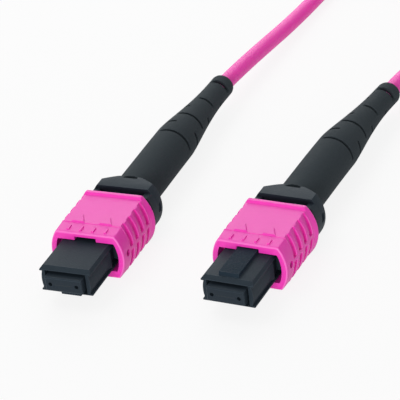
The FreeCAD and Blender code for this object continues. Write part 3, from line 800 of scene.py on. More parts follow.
def join_into(piece: bpy.types.Object, extra: bpy.types.Object, sharp: float) -> None:
    """Add another piece's mesh to a piece, and take that other piece away.

    Args:
        piece: The piece that stays.
        extra: The piece that goes into it.
        sharp: Edges turning more than this many degrees stay sharp.
    """
    joined = bmesh.new()
    joined.from_mesh(piece.data)
    joined.from_mesh(extra.data)
    joined.to_mesh(piece.data)
    joined.free()
    bpy.data.objects.remove(extra)
    shade(piece.data, sharp)


@dataclass(frozen=True)
class Oval:
    """Half sizes of an outline with flats above and below and bulging sides."""

    width: float
    flat: float
    height: float
    flat_inset: ClassVar[float] = 0.6
    easing: ClassVar[tuple[float, ...]] = (0.25, 0.5, 0.25)
    easing_rounds: ClassVar[int] = 3

    @property
    def bulge(self) -> Point:
        """Place of the bulge's centre along x, and its radius.

        Returns:
            The centre and the radius.
        """
        rise = self.width - self.flat
        radius = (self.height * self.height + rise * rise) / (2 * rise)
        return self.width - radius, radius

    def side_x(self, y: float) -> float:
        """How far the right side stands out at a height."""
        centre, radius = self.bulge
        return centre + math.sqrt(radius * radius - y * y)

    def between(self, other: "Oval", share: float) -> "Oval":
        """The outline part of the way to another."""
        return Oval(*(a + (b - a) * share for a, b in
                      ((self.width, other.width), (self.flat, other.flat), (self.height, other.height))))

    def inset(self, depth: float) -> "Oval":
        """The outline drawn in all round."""
        return Oval(self.width - depth, self.flat - depth * self.flat_inset, self.height - depth)

    def outline(self, flat_points: int, side_shares: Sequence[float]) -> list[Point]:
        """Points round the outline, anticlockwise from the right end of the upper flat.

        Args:
            flat_points: Points on each flat.
            side_shares: Heights of the points on a side, from 1 at its top to -1.

        Returns:
            The points, the corners eased.
        """
        points = []
        for turn in (1, -1):
            for place in range(flat_points):
                share = place / flat_points
                points.append((turn * self.flat * (1 - 2 * share), turn * self.height))
            for share in side_shares:
                y = turn * self.height * share
                points.append((-turn * self.side_x(y), y))
        for _ in range(self.easing_rounds):
            around = zip(points[-1:] + points[:-1], points, points[1:] + points[:1])
            points = [tuple(sum(weight * part for weight, part in zip(self.easing, parts))
                            for parts in zip(*three)) for three in around]
        return points


# The connector's place


@dataclass(frozen=True)
class Placement:
    """Where one connector lies: which end it is, and the way from its own frame to the shared one."""

    end: End
    matrix: Matrix

    @classmethod
    def of_end(cls, record: dict, end: End, protrusion: float = 1.05) -> "Placement":
        """Read a connector's place from its plug mount.

        Args:
            record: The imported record.
            end: Which end of the cable.
            protrusion: How far the ferrule's face stands out of the plug.

        Returns:
            The placement.
        """
        mount = next(row for row in record["mounts"] if row["name"] == f"plug_{end.value}")
        back = -Vector(mount["axis"]).normalized()
        key = Vector((0, 0, 1 if end is End.KEY_UP else -1))
        across = key.cross(back)
        origin = Vector(mount["pos_m"]) - back * protrusion * MM
        columns = Matrix((across, key, back)).transposed().to_4x4()
        return cls(end, Matrix.Translation(origin) @ columns @ Matrix.Scale(MM, 4))

    def at(self, x: float, y: float, z: float) -> Vector:
        """A point of the connector's frame in the shared frame."""
        return self.matrix @ Vector((x, y, z))

    @property
    def back(self) -> Vector:
        """Direction along the cable, away from the ferrule's face."""
        return (self.matrix.to_3x3() @ Vector((0, 0, 1))).normalized()

    @property
    def right(self) -> float:
        """Sign of the connector's x towards the shared frame's +X."""
        return 1.0 if self.end is End.KEY_DOWN else -1.0

    def named(self, stem: str) -> str:
        """Name of this end's node or piece."""
        return f"{stem}_{self.end.value}"


# Sub-assemblies of one connector

# Fibres in the cable, and the distance between them in ribbon and ferrule
FIBRE_COUNT = 12
FIBRE_PITCH = 0.25


@dataclass
class CouplingSleeve:
    """Sliding sleeve: flats above and below, ribbed bulging sides, a rear rim and two keyways."""

    placement: Placement
    # Stations along the sleeve, where its outline changes
    front: float = 9.35
    crease: float = 12.3
    swell: float = 20.3
    ramp: float = 20.75
    rim: float = 21.1
    rear: float = 21.85
    # Outlines at those stations, and the opening with its keyways
    front_oval: Oval = Oval(6.45, 5.2, 3.9)
    crease_oval: Oval = Oval(6.45, 5.24, 4.03)
    oval: Oval = Oval(6.45, 5.25, 4.1)
    rim_oval: Oval = Oval(6.8, 5.0, 4.5)
    opening: Oval = Oval(5.5, 4.95, 2.6)
    keyway_half: float = 1.9
    keyway_top: float = 3.25
    # Grooves of the ribbed sides, which run out towards top and bottom
    groove_start: float = 12.45
    groove_width: float = 1.1
    groove_pitch: float = 2.2
    groove_count: int = 4
    groove_depth: float = 0.4
    groove_end_depth: float = 0.16
    groove_web: float = 0.35
    groove_top: float = 4.1
    # Eased edges, and how far a face may turn to take the painted highlight of an edge
    edge: float = 0.1
    edge_cut: float = 0.15
    highlight_facing: Span = (0.25, 0.97)
    wall: float = 0.02
    corner: float = 0.2
    corner_steps: tuple[Point, ...] = ((0.0, 1.0), (0.3, 0.45), (0.65, 0.12))
    # Side holes
    hole_place: float = 11.25
    hole_radius: float = 0.6
    hole_ends: Span = (5.0, 7.5)
    hole_sides: int = 32
    # Raised arrows and bars
    arrow_middle: float = 2.45
    arrow_half: float = 1.25
    arrow_gap: float = 0.05
    arrow_length: float = 2.35
    arrow_slope: float = 0.35
    relief: float = 0.2
    bars: tuple[float, ...] = (-3.3, -1.1, 1.1, 3.3)
    bar_half: float = 0.2
    bar_ends: Span = (10.05, 11.35)
    bar_slope: float = 0.12
    # Seats of the sleeve springs, and the rim's recess for the collar's lugs
    seat_inner: float = 4.6
    seat_root: float = 0.2
    seat_half: float = 0.9
    seat_ends: Span = (11.8, 12.5)
    recess_depth: float = 1.4
    recess_radius: float = 6.12
    recess_half: float = 3.4
    # How closely the skin follows all this
    flat_points: int = 72
    side_step: float = 0.15
    side_gap: float = 0.05
    slope_step: float = 0.5
    slope_stations: int = 5
    crease_steps: tuple[float, ...] = (-0.03, -0.001, 0.03)
    ramp_steps: tuple[float, ...] = (-0.04, 0.0, 0.04)
    rim_steps: tuple[float, ...] = (-0.04, 0.0, 0.06, 0.2, 0.4)
    swell_steps: tuple[float, ...] = (0.0, 0.15, 0.3)
    search_halvings: int = 40
    sharp: float = 32.0

    def oval_at(self, z: float) -> Oval:
        """The outer outline at a station: sloping in front, raised to the rim, with gently swelling sides.

        Args:
            z: The station.

        Returns:
            The outline.
        """
        if z < self.crease:
            return self.front_oval.between(self.crease_oval, (z - self.front) / (self.crease - self.front))
        share = min(max((z - self.ramp) / (self.rim - self.ramp), 0.0), 1.0)
        raised = self.oval.between(self.rim_oval, share)
        swell = self.oval.between(self.rim_oval, smooth((z - self.swell) / (self.rear - self.swell)))
        return Oval(swell.width, raised.flat, raised.height)

    def side_shares(self) -> list[float]:
        """Heights of the points on a side, close together at the grooves' ends.

        Returns:
            The heights as shares, from 1 at the side's top to -1.
        """
        top = self.oval.height
        heights = {self.groove_web, self.groove_web - self.wall, top - self.wall, top - self.edge}
        count = math.ceil(top / self.side_step)
        for place in range(count):
            height = top * place / count
            if abs(height - self.groove_web) > self.side_gap:
                heights.add(height)
        shares = {sign * height / top for height in heights for sign in (-1, 1)}
        return [1.0] + sorted(shares, reverse=True)

    def groove_at(self, z: float) -> float:
        """How deep the grooves are cut at a station; the ribs' edges are eased.

        Args:
            z: The station.

        Returns:
            The share of the full depth.
        """
        deepest = 0.0
        for place in range(self.groove_count):
            start = self.groove_start + self.groove_pitch * place
            inside = min(z - start, start + self.groove_width - z)
            if inside >= self.wall / 2:
                deepest = 1.0
            elif inside > -self.edge:
                deepest = max(deepest, self.edge_cut * (inside / self.edge + 1))
        return deepest

    def groove_floor(self, y: float) -> float:
        """How far the grooves' floor stands out at a height.

        Args:
            y: The height.

        Returns:
            The floor's place along x, past the outside where there is no groove.
        """
        height, middle = abs(y), (self.groove_web + self.groove_top) / 2
        if height < self.groove_web - self.wall / 2 or height > self.groove_top:
            return 2 * self.oval.width
        share = max((height - middle) / (self.groove_top - middle), 0.0)
        depth = self.groove_depth + (self.groove_end_depth - self.groove_depth) * share
        centre, radius = self.oval.bulge
        return centre + math.sqrt((radius - depth) ** 2 - y * y)

    def outer_ring(self, z: float, inset: float = 0.0) -> Ring:
        """The outside at a station.

        Args:
            z: The station.
            inset: How far the outline is drawn in.

        Returns:
            The ring's points.
        """
        cut = self.groove_at(z)
        drawn = self.oval_at(z).inset(inset)
        ring = []
        for x, y in drawn.outline(self.flat_points, self.side_shares()):
            excess = max(abs(x) - self.groove_floor(y), 0.0)
            ring.append(Vector((x - math.copysign(excess * cut, x), y, z)))
        return ring

    def is_open(self, x: float, y: float, recessed: bool) -> bool:
        """Whether a point of the upper right quarter lies in the opening.

        Args:
            x: The point's place across.
            y: Its height.
            recessed: Whether the rim's recess for the collar's lugs is cut here.

        Returns:
            True inside the oval, a keyway or the recess.
        """
        in_oval = y <= self.opening.height and x <= self.opening.side_x(y)
        in_keyway = x <= self.keyway_half and y <= self.keyway_top
        in_recess = recessed and math.hypot(x, y) <= self.recess_radius and y <= self.recess_half
        return in_oval or in_keyway or in_recess

    def inner_ring(self, z: float, recessed: bool = False) -> Ring:
        """The opening at a station.

        Args:
            z: The station.
            recessed: Whether the rim's recess for the collar's lugs is cut here.

        Returns:
            The ring's points: an oval with a keyway above and below, or the recess round it.
        """
        points = []
        for point in self.outer_ring(self.crease):
            angle = math.atan2(point.y, point.x)
            cos, sin = abs(math.cos(angle)), abs(math.sin(angle))
            low, high = 0.0, self.rim_oval.width + self.rim_oval.height
            for _ in range(self.search_halvings):
                middle = (low + high) / 2
                inside = self.is_open(middle * cos, middle * sin, recessed)
                low, high = (middle, high) if inside else (low, middle)
            points.append(Vector((math.cos(angle) * low, math.sin(angle) * low, z)))
        corners = [(self.keyway_half, self.opening.height), (self.keyway_half, self.keyway_top)]
        if recessed:
            corners = [(math.sqrt(self.recess_radius ** 2 - self.recess_half ** 2), self.recess_half)]
        for right in (-1, 1):
            for up in (-1, 1):
                for across, height in corners:
                    corner = Vector((right * across, up * height, z))
                    turns = [math.atan2(point.y, point.x) for point in points]
                    turn = math.atan2(corner.y, corner.x)
                    nearest = min(range(len(points)), key=lambda place: abs(turns[place] - turn))
                    points[nearest] = corner
        return points

    def stations(self) -> list[float]:
        """Stations of the outside, close together where it changes.

        Returns:
            The stations, in order.
        """
        found = {self.front + self.corner, self.rear - self.corner}
        found.update(self.front + self.corner + self.slope_step * place
                     for place in range(1, self.slope_stations + 1))
        close = ((self.crease, self.crease_steps), (self.swell, self.swell_steps),
                 (self.ramp, self.ramp_steps), (self.rim, self.rim_steps))
        for middle, steps in close:
            found.update(middle + step for step in steps)
        for place in range(self.groove_count):
            start = self.groove_start + self.groove_pitch * place
            for edge, way in ((start, 1), (start + self.groove_width, -1)):
                found.update(edge + way * step for step in (-self.edge, 0.0, self.wall))
            found.add(start + self.groove_width / 2)
            found.add(start + (self.groove_width + self.groove_pitch) / 2)
        return sorted(z for z in found if self.front < z < self.rear)

    def build(self) -> bpy.types.Object:
        """The sleeve, with its raised marks, spring seats and side holes.

        Returns:
            The sleeve.
        """
        builder = MeshBuilder()
        rings = [self.outer_ring(self.front + self.corner * step, self.corner * inset)
                 for step, inset in self.corner_steps]
        rings += [self.outer_ring(z) for z in self.stations()]
        rings += [self.outer_ring(self.rear - self.corner * step, self.corner * inset)
                  for step, inset in reversed(self.corner_steps)]
        floor = self.rear - self.recess_depth
        rings += [self.inner_ring(self.rear, True), self.inner_ring(floor, True)]
        rings += [self.inner_ring(floor - self.wall), self.inner_ring(self.front)]
        builder.loft(rings, looped=True)
        piece = builder.piece(self.placement.named("sleeve_shell"), self.placement.matrix)
        self.drill(piece)
        marks = MeshBuilder()
        self.add_marks(marks)
        self.add_seats(marks)
        raised = marks.piece(self.placement.named("sleeve_marks"), self.placement.matrix)
        join_into(piece, raised, self.sharp)
        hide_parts(self.placement.named("coupling_sleeve"))
        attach(piece, self.placement.named("sleeve"))
        # The second finish is a painted highlight for the rounded edges and rib fronts
        MAGENTA_SLEEVE.dress(piece, MAGENTA_HIGHLIGHT)
        self.paint_edge_highlights(piece)
        return piece

    def paint_edge_highlights(self, piece: bpy.types.Object) -> None:
        """Give the rounded edges of both ends and the ribs' front edges a lighter finish, as a painted
        highlight.

        Args:
            piece: The sleeve.
        """
        flattest, steepest = self.highlight_facing
        back = self.placement.back
        to_sleeve = self.placement.matrix.inverted()
        for polygon in piece.data.polygons:
            spot = to_sleeve @ polygon.center
            facing = -polygon.normal.dot(back)
            at_end = min(spot.z - self.front, self.rear - spot.z) < self.corner
            at_rib = abs(spot.x) > self.opening.width and self.crease < spot.z < self.ramp and facing > 0
            # These faces take the lighter finish: a painted highlight
            if (at_end or at_rib) and flattest < abs(facing) < steepest:
                polygon.material_index = Face.EDGE

    def drill(self, piece: bpy.types.Object) -> None:
        """Cut the small round hole through each side.

        Args:
            piece: The sleeve.
        """
        cutter = MeshBuilder()
        for side in (-1, 1):
            rings = [[Vector((side * x, self.hole_radius * sin, self.hole_place + self.hole_radius * cos))
                      for cos, sin in round_steps(self.hole_sides)] for x in self.hole_ends]
            cutter.loft(rings, capped=True)
        drill = cutter.piece(self.placement.named("sleeve_drill"), self.placement.matrix)
        cut = piece.modifiers.new("drill", "BOOLEAN")
        cut.operation = "DIFFERENCE"
        cut.object = drill
        apply_modifiers(piece, self.sharp)
        bpy.data.objects.remove(drill)

    def add_marks(self, builder: MeshBuilder) -> None:
        """Raised arrows behind the crease and plain grip bars in front of it, above and below.

        Args:
            builder: Takes the marks.
        """
        base = self.crease + self.arrow_gap
        for up in (-1, 1):
            for side in (-1, 1):
                middle = side * self.arrow_middle
                corners = [(middle - self.arrow_half, base), (middle + self.arrow_half, base),
                           (middle, self.crease + self.arrow_length)]
                floor = [up * self.oval.height] * len(corners)
                builder.raised(corners, floor, up * self.relief, self.arrow_slope)
            for middle in self.bars:
                corners = [(middle + x, z) for x, z in (
                    (-self.bar_half, self.bar_ends[0]), (self.bar_half, self.bar_ends[0]),
                    (self.bar_half, self.bar_ends[1]), (-self.bar_half, self.bar_ends[1]))]
                floor = [up * self.oval_at(z).height for _, z in corners]
                builder.raised(corners, floor, up * self.relief, self.bar_slope)

    def add_seats(self, builder: MeshBuilder) -> None:
        """A seat for the sleeve spring inside each side.

        Args:
            builder: Takes the seats.
        """
        inner, outer = self.seat_inner, self.opening.width + self.seat_root
        corners = [(inner, -self.seat_half), (outer, -self.seat_half),
                   (outer, self.seat_half), (inner, self.seat_half)]
        for side in (-1, 1):
            rings = [[Vector((side * x, y, z)) for x, y in corners] for z in self.seat_ends]
            builder.loft(rings, capped=True)


@dataclass(frozen=True)
class Slit:
    """One slit of the boot, cut from both sides towards the middle."""

    place: float
    lean: float
    chord: float
    half: float = 0.275


@dataclass
class StrainBoot:
    """Strain-relief boot: straight over the crimp, an S-shaped taper to the cable, alternating slits."""

    placement: Placement
    # Length, taper and the space inside
    front: float = 27.75
    crimp_rear: float = 36.0
    rear: float = 69.5
    radius: float = 3.72
    tip_radius: float = 2.2
    taper_front: float = 47.0
    taper_rear: float = 66.5
    taper_bias: float = 0.726
    cavity: float = 3.12
    bore: float = 1.40
    # Slits: their places, which lean round the boot, and what they leave in the middle
    slit_floor: float = 1.45
    lean: float = math.radians(123)
    main_slits: tuple[float, ...] = (45.0, 52.2, 59.4)
    open_slit: float = 66.6
    side_slits: tuple[float, ...] = (48.6, 55.8, 63.0)
    chord: float = 1.9
    open_chord: float = 1.2
    open_half: float = 0.5
    lip: float = 0.05
    lip_depth: float = 0.5
    slit_wall: float = 0.02
    # Pockets behind the collar's flats
    pocket_middle: float = 27.85
    pocket_length: float = 0.8
    pocket_half: float = 1.5
    pocket_floor: float = 3.2
    # How far each tip has bent aside
    bend_front: float = 38.0
    bends: dict[End, float] = field(default_factory=lambda: {End.KEY_DOWN: 0.6, End.KEY_UP: 1.4})
    # Rounded ends, as steps along and inwards, and the mouth for the cable
    front_corner: tuple[Point, ...] = ((0.0, 0.2), (0.06, 0.06), (0.2, 0.0))
    tip_corner: tuple[Point, ...] = ((0.6, 0.0), (0.3, 0.06), (0.1, 0.22), (0.0, 0.45))
    mouth_depth: float = 0.2
    mouth_flare: float = 0.12
    cavity_slope: float = 0.05
    # How closely the skin follows all this
    collar_rows: int = 12
    collar_row_start: float = 0.25
    collar_row_step: float = 0.1
    row_start: float = 0.3
    row_step: float = 0.5
    sharp: float = 40.0
    sides: int = 128

    def slits(self) -> list[Slit]:
        """All slits of the boot; the last one shows the cable.

        Returns:
            The slits.
        """
        found = [Slit(place, self.lean, self.chord) for place in self.main_slits]
        found += [Slit(place, self.lean + math.pi / 2, self.chord) for place in self.side_slits]
        return found + [Slit(self.open_slit, self.lean, self.open_chord, self.open_half)]

    def pocket_reach(self, z: float, angle: float) -> float:
        """How far the boot may reach where a small pocket lies behind each flat of the collar.

        Args:
            z: The station.
            angle: The direction round the boot.

        Returns:
            The radius that the pocket leaves.
        """
        share = 1 - ((z - self.pocket_middle) / self.pocket_length) ** 2
        if share <= 0:
            return self.radius
        up = abs(math.sin(angle))
        across = abs(math.cos(angle))
        inside = self.pocket_floor * across < self.pocket_half * math.sqrt(share) * up
        return self.pocket_floor / up if inside else self.radius

    def radius_at(self, z: float) -> float:
        """Outer radius at a station."""
        share = min(max((z - self.taper_front) / (self.taper_rear - self.taper_front), 0.0), 1.0)
        return self.radius - (self.radius - self.tip_radius) * smooth(share ** self.taper_bias)

    def middle(self, z: float) -> float:
        """How far the boot has bent aside at a station, along the connector's x."""
        share = max((z - self.bend_front) / (self.rear - self.bend_front), 0.0)
        return self.placement.right * self.bends[self.placement.end] * share * share

    def ring(self, z: float, radius: float, cut: Slit | None = None, depth: float = 1.0) -> Ring:
        """One ring of the boot.

        Args:
            z: The station.
            radius: The radius where nothing is cut.
            cut: The slit that passes here, if any.
            depth: Share of the slit's depth that is cut.

        Returns:
            The ring's points.
        """
        ring = []
        for place in range(self.sides):
            angle = FULL_TURN * place / self.sides
            reach = min(radius, self.pocket_reach(z, angle))
            if cut is not None:
                across = abs(math.cos(angle - cut.lean))
                floor = max(self.slit_floor, cut.chord / across) if across else radius
                reach = radius - max(radius - floor, 0.0) * depth
                if depth < 1.0:
                    reach = max(reach, radius - self.lip)
            ring.append(Vector((self.middle(z) + reach * math.cos(angle), reach * math.sin(angle), z)))
        return ring

    def outer_rings(self) -> list[Ring]:
        """Rings of the outside between its two rounded ends, close together at the collar and the slits.

        Returns:
            The rings, from front to rear.
        """
        taken = [(slit.place - slit.half - 2 * self.lip, slit.place + slit.half + 2 * self.lip)
                 for slit in self.slits()]
        rows: list[tuple[float, Ring]] = []
        for place in range(self.collar_rows):
            z = self.front + self.collar_row_start + self.collar_row_step * place
            rows.append((z, self.ring(z, self.radius)))
        fine_end = rows[-1][0]
        count = int((self.rear - self.front) / self.row_step)
        length = self.rear - self.front - self.row_start - self.tip_corner[0][0]
        for place in range(1, count):
            z = self.front + self.row_start + length * place / count
            if z > fine_end and not any(low < z < high for low, high in taken):
                rows.append((z, self.ring(z, self.radius_at(z))))
        for slit in self.slits():
            for way in (-1, 1):
                edge = slit.place + way * slit.half
                outside = edge + way * self.lip
                inside = edge - way * self.slit_wall
                rows.append((outside, self.ring(outside, self.radius_at(outside))))
                rows.append((edge, self.ring(edge, self.radius_at(edge), slit, self.lip_depth)))
                rows.append((inside, self.ring(inside, self.radius_at(inside), slit)))
        rows.sort(key=lambda row: row[0])
        return [ring for _, ring in rows]

    def build(self) -> bpy.types.Object:
        """The boot.

        Returns:
            The boot.
        """
        front = [(self.front + step, self.radius - inset) for step, inset in self.front_corner]
        tip = [(self.rear - step, self.tip_radius - inset) for step, inset in self.tip_corner]
        inner = [(self.rear, self.bore + self.mouth_flare), (self.rear - self.mouth_depth, self.bore),
                 (self.crimp_rear + self.cavity_slope, self.bore), (self.crimp_rear, self.cavity),
                 (self.front, self.cavity)]
        rings = [self.ring(z, radius) for z, radius in front]
        rings += self.outer_rings()
        rings += [self.ring(z, radius) for z, radius in tip + inner]
        builder = MeshBuilder()
        builder.loft(rings, looped=True)
        piece = builder.piece(self.placement.named("boot"), self.placement.matrix, self.sharp)
        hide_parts(self.placement.named("strain_relief_boot"))
        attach(piece, CABLE_BODY)
        BOOT_RUBBER.dress(piece)
        return piece


@dataclass
class CoilSpring:
    """A spring of round wire with closed ends."""

    placement: Placement
    stem: str
    joint: str
    travel: float
    half_width: float
    half_height: float
    middle: float
    front: float
    rear: float
    wire: float
    turns: int
    closed_pitch: float = 1.2
    steps: int = 20
    sides: int = 10

    def path(self) -> list[Vector]:
        """The wire's middle line, its first and last turns closed up.

        Returns:
            The points of the line.
        """
        points = []
        total = self.turns * self.steps
        length = self.rear - self.front - self.wire
        closed = self.closed_pitch * self.wire
        for step in range(total + 1):
            turn = step / self.steps
            angle = FULL_TURN * turn
            if turn < 1:
                z = closed * turn
            elif turn > self.turns - 1:
                z = length - closed * (self.turns - turn)
            else:
                z = closed + (length - 2 * closed) * (turn - 1) / (self.turns - 2)
            points.append(Vector((
                self.middle + (self.half_width - self.wire / 2) * math.cos(angle),
                (self.half_height - self.wire / 2) * math.sin(angle),
                self.front + self.wire / 2 + z)))
        return points

    def build(self) -> bpy.types.Object:
        """The spring.

        Returns:
            The spring.
        """
        builder = MeshBuilder()
        builder.tube(self.path(), self.wire / 2, self.sides)
        piece = builder.piece(self.placement.named(f"{self.stem}_wire"), self.placement.matrix, SHARP_WIRE)
        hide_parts(self.placement.named(self.stem))
        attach(piece, CABLE_BODY)
        length = self.rear - self.front
        self.placement.named(self.joint)
        self.placement.at(self.middle, 0, self.rear)
        (length - self.travel) / length
        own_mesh(piece)
        SPRING_STEEL.dress(piece)
        return piece


@dataclass
class FibreRibbon:
    """Coated fibres side by side, gathered into a bundle."""

    placement: Placement
    travel: float
    front: float = 4.5
    gather: Span = (26.2, 27.0)
    rear: float = 36.0
    count: int = FIBRE_COUNT
    pitch: float = FIBRE_PITCH
    radius: float = 0.15
    bundle: Point = (0.8, 0.5)
    arc_points: int = 6
    gather_rings: int = 6

    def section(self, z: float, share: float) -> Ring:
        """The ribbon's section at a station.

        Args:
            z: The station.
            share: 0 for the flat ribbon, 1 for the bundle.

        Returns:
            The ring's points.
        """
        half = self.pitch * self.count / 2
        meeting = math.acos(self.pitch / 2 / self.radius)
        narrowed = 1 + (self.bundle[0] / half - 1) * share
        ring = []
        for up in (1, -1):
            for place in range(self.count):
                shared = 0 if place == self.count - 1 else 1
                for step in range(self.arc_points - shared):
                    angle = math.pi - meeting - (math.pi - 2 * meeting) * step / (self.arc_points - 1)
                    x = self.pitch * (place + 0.5) - half + self.radius * math.cos(angle)
                    rise = (self.bundle[1] - self.radius) * math.sqrt(1 - (x / (half + self.radius)) ** 2)
                    height = self.radius * math.sin(angle) + rise * share
                    ring.append(Vector((up * x * narrowed, up * height, z)))
        return ring

    def build(self) -> bpy.types.Object:
        """The ribbon.

        Returns:
            The ribbon.
        """
        start, end = self.gather
        rings = [self.section(self.front, 0.0)]
        for place in range(self.gather_rings):
            share = place / (self.gather_rings - 1)
            rings.append(self.section(start + (end - start) * share, smooth(share)))
        rings.append(self.section(self.rear, 1.0))
        builder = MeshBuilder()
        builder.loft(rings, capped=True)
        piece = builder.piece(self.placement.named("ribbon"), self.placement.matrix, SHARP_WIRE)
        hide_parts(self.placement.named("fibre_ribbon"))
        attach(piece, CABLE_BODY)
        length = self.rear - self.front
        self.placement.named("ferrule_push")
        self.placement.at(0, 0, self.rear)
        (length - self.travel) / length
        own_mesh(piece)
        FIBRE_COATING.dress(piece)
        return piece


@dataclass
class Housing:
    """The rigid moulded pieces with their edges eased: plug, rear body and ferrule."""

    placement: Placement
    # Rounded edges
    plug_bevel: float = 0.09
    plug_top: float = 2.45
    rear_bevel: float = 0.12
    ferrule_bevel: float = 0.05
    bevel_steps: int = 3
    sharp: float = 30.0
    merge_distance: float = 0.001
    flat_angle: float = 0.5
    # The collar's side lugs
    lug_radius: float = 6.004
    lug_half: float = 3.1
    lug_inner: float = 4.1
    lug_ends: Span = (22.95, 25.0)
    lug_edge: float = 0.12
    lug_points: int = 24
    # Fibre ends in the ferrule's face
    fibre_count: int = FIBRE_COUNT
    fibre_pitch: float = FIBRE_PITCH
    fibre_radius: float = 0.0625
    fibre_root: float = 0.2
    fibre_dome: float = 0.004
    fibre_dome_share: float = 0.8
    fibre_sides: int = 16

    def eased(self, stem: str, name: str, bevel: float, finish: Finish, edge: Finish) -> bpy.types.Object:
        """A copy of a frame node with small rounded edges.

        Args:
            stem: The node's name without its end.
            name: The new piece's name without its end.
            bevel: Width of the rounding.
            finish: Its finish.
            edge: The lighter finish of its rounded edges, a painted highlight.

        Returns:
            The new piece.
        """
        node = self.placement.named(stem)
        work = bmesh.new()
        work.from_mesh(bpy.data.objects[node].data)
        bmesh.ops.remove_doubles(work, verts=work.verts, dist=self.merge_distance * MM)
        bmesh.ops.dissolve_limit(
            work, angle_limit=math.radians(self.flat_angle), verts=work.verts, edges=work.edges)
        mesh = bpy.data.meshes.new(name)
        work.to_mesh(mesh)
        work.free()
        piece = finished_piece(self.placement.named(name), mesh, self.sharp)
        finish.dress(piece, edge)
        for polygon in mesh.polygons:
            polygon.material_index = Face.BODY
        rounding = piece.modifiers.new("rounding", "BEVEL")
        rounding.width = bevel * MM
        rounding.segments = self.bevel_steps
        rounding.limit_method = "ANGLE"
        rounding.angle_limit = math.radians(self.sharp)
        rounding.use_clamp_overlap = True
        # The bevel's faces take the lighter finish: a painted highlight
        rounding.material = Face.EDGE
        apply_modifiers(piece, self.sharp)
        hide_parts(node)
        return piece

    def build(self) -> list[bpy.types.Object]:
        """The three pieces and the row of fibre ends.

        Returns:
            The pieces.
        """
        # The second finish of each pair is a painted highlight on the rounded edges
        housing = (CHARCOAL_HOUSING, CHARCOAL_HIGHLIGHT)
        plug = self.eased("plug_frame", "plug", self.plug_bevel, *housing)
        rear = self.eased("rear_body", "spring_push", self.rear_bevel, *housing)
        for piece in (plug, rear):
            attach(piece, CABLE_BODY)
        self.grain_key(plug)
        self.add_lugs(rear)
        block = self.eased("ferrule", "ferrule_block", self.ferrule_bevel, FERRULE_RESIN, RESIN_HIGHLIGHT)
        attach(block, self.placement.named("ferrule"))
        return [plug, rear, block, self.fibre_ends()]

    def grain_key(self, plug: bpy.types.Object) -> None:
        """Give the key, which stands above the plug's flat, its coarser grain.

        Args:
            plug: The plug.
        """
        plug.data.materials.append(KEY_GRAIN.material())
        to_plug = self.placement.matrix.inverted()
        for polygon in plug.data.polygons:
            height = (to_plug @ polygon.center).y
            if height > self.plug_top + self.plug_bevel and polygon.material_index == Face.BODY:
                polygon.material_index = Face.KEY

    def lug_ring(self, side: int, z: float, inset: float = 0.0) -> Ring:
        """Section of one side lug: round outside, with a small chamfer above and below.

        Args:
            side: 1 or -1, the side along x.
            z: The station.
            inset: How far the section is drawn in.

        Returns:
            The ring's points.
        """
        radius, half = self.lug_radius - inset, self.lug_half - inset
        turn = math.asin((half - self.lug_edge) / radius)
        points = []
        for place in range(self.lug_points + 1):
            angle = turn * (2 * place / self.lug_points - 1)
            points.append((radius * math.cos(angle), radius * math.sin(angle)))
        shoulder = points[-1][0] - 2 * self.lug_edge
        points = [(self.lug_inner, -half), (shoulder, -half), *points,
                  (shoulder, half), (self.lug_inner, half)]
        return [Vector((side * x, y, z)) for x, y in points]

    def add_lugs(self, rear: bpy.types.Object) -> None:
        """Add the collar's side lugs, which reach forward into the sleeve's rim when it slides back.

        Args:
            rear: The rear body, which carries the collar.
        """
        builder = MeshBuilder()
        front, end = self.lug_ends
        for side in (-1, 1):
            rings = [self.lug_ring(side, front, self.lug_edge), self.lug_ring(side, front + self.lug_edge),
                     self.lug_ring(side, end)]
            builder.loft(rings, capped=True)
        lugs = builder.piece(self.placement.named("collar_lugs"), self.placement.matrix)
        join_into(rear, lugs, self.sharp)

    def fibre_ends(self) -> bpy.types.Object:
        """Polished fibre ends in a row on the ferrule's face.

        Returns:
            The fibre ends, as one piece.
        """
        builder = MeshBuilder()
        first = -self.fibre_pitch * (self.fibre_count - 1) / 2
        profile = ((self.fibre_root, self.fibre_radius), (0.0, self.fibre_radius),
                   (-self.fibre_dome, self.fibre_radius * self.fibre_dome_share))
        for place in range(self.fibre_count):
            x = first + self.fibre_pitch * place
            rings = [[Vector((x + radius * cos, radius * sin, z))
                      for cos, sin in round_steps(self.fibre_sides)] for z, radius in profile]
            builder.loft(rings, capped=True)
        piece = builder.piece(self.placement.named("fibre_ends"), self.placement.matrix)
        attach(piece, self.placement.named("ferrule"))
        FIBRE_GLASS.dress(piece)
        return piece


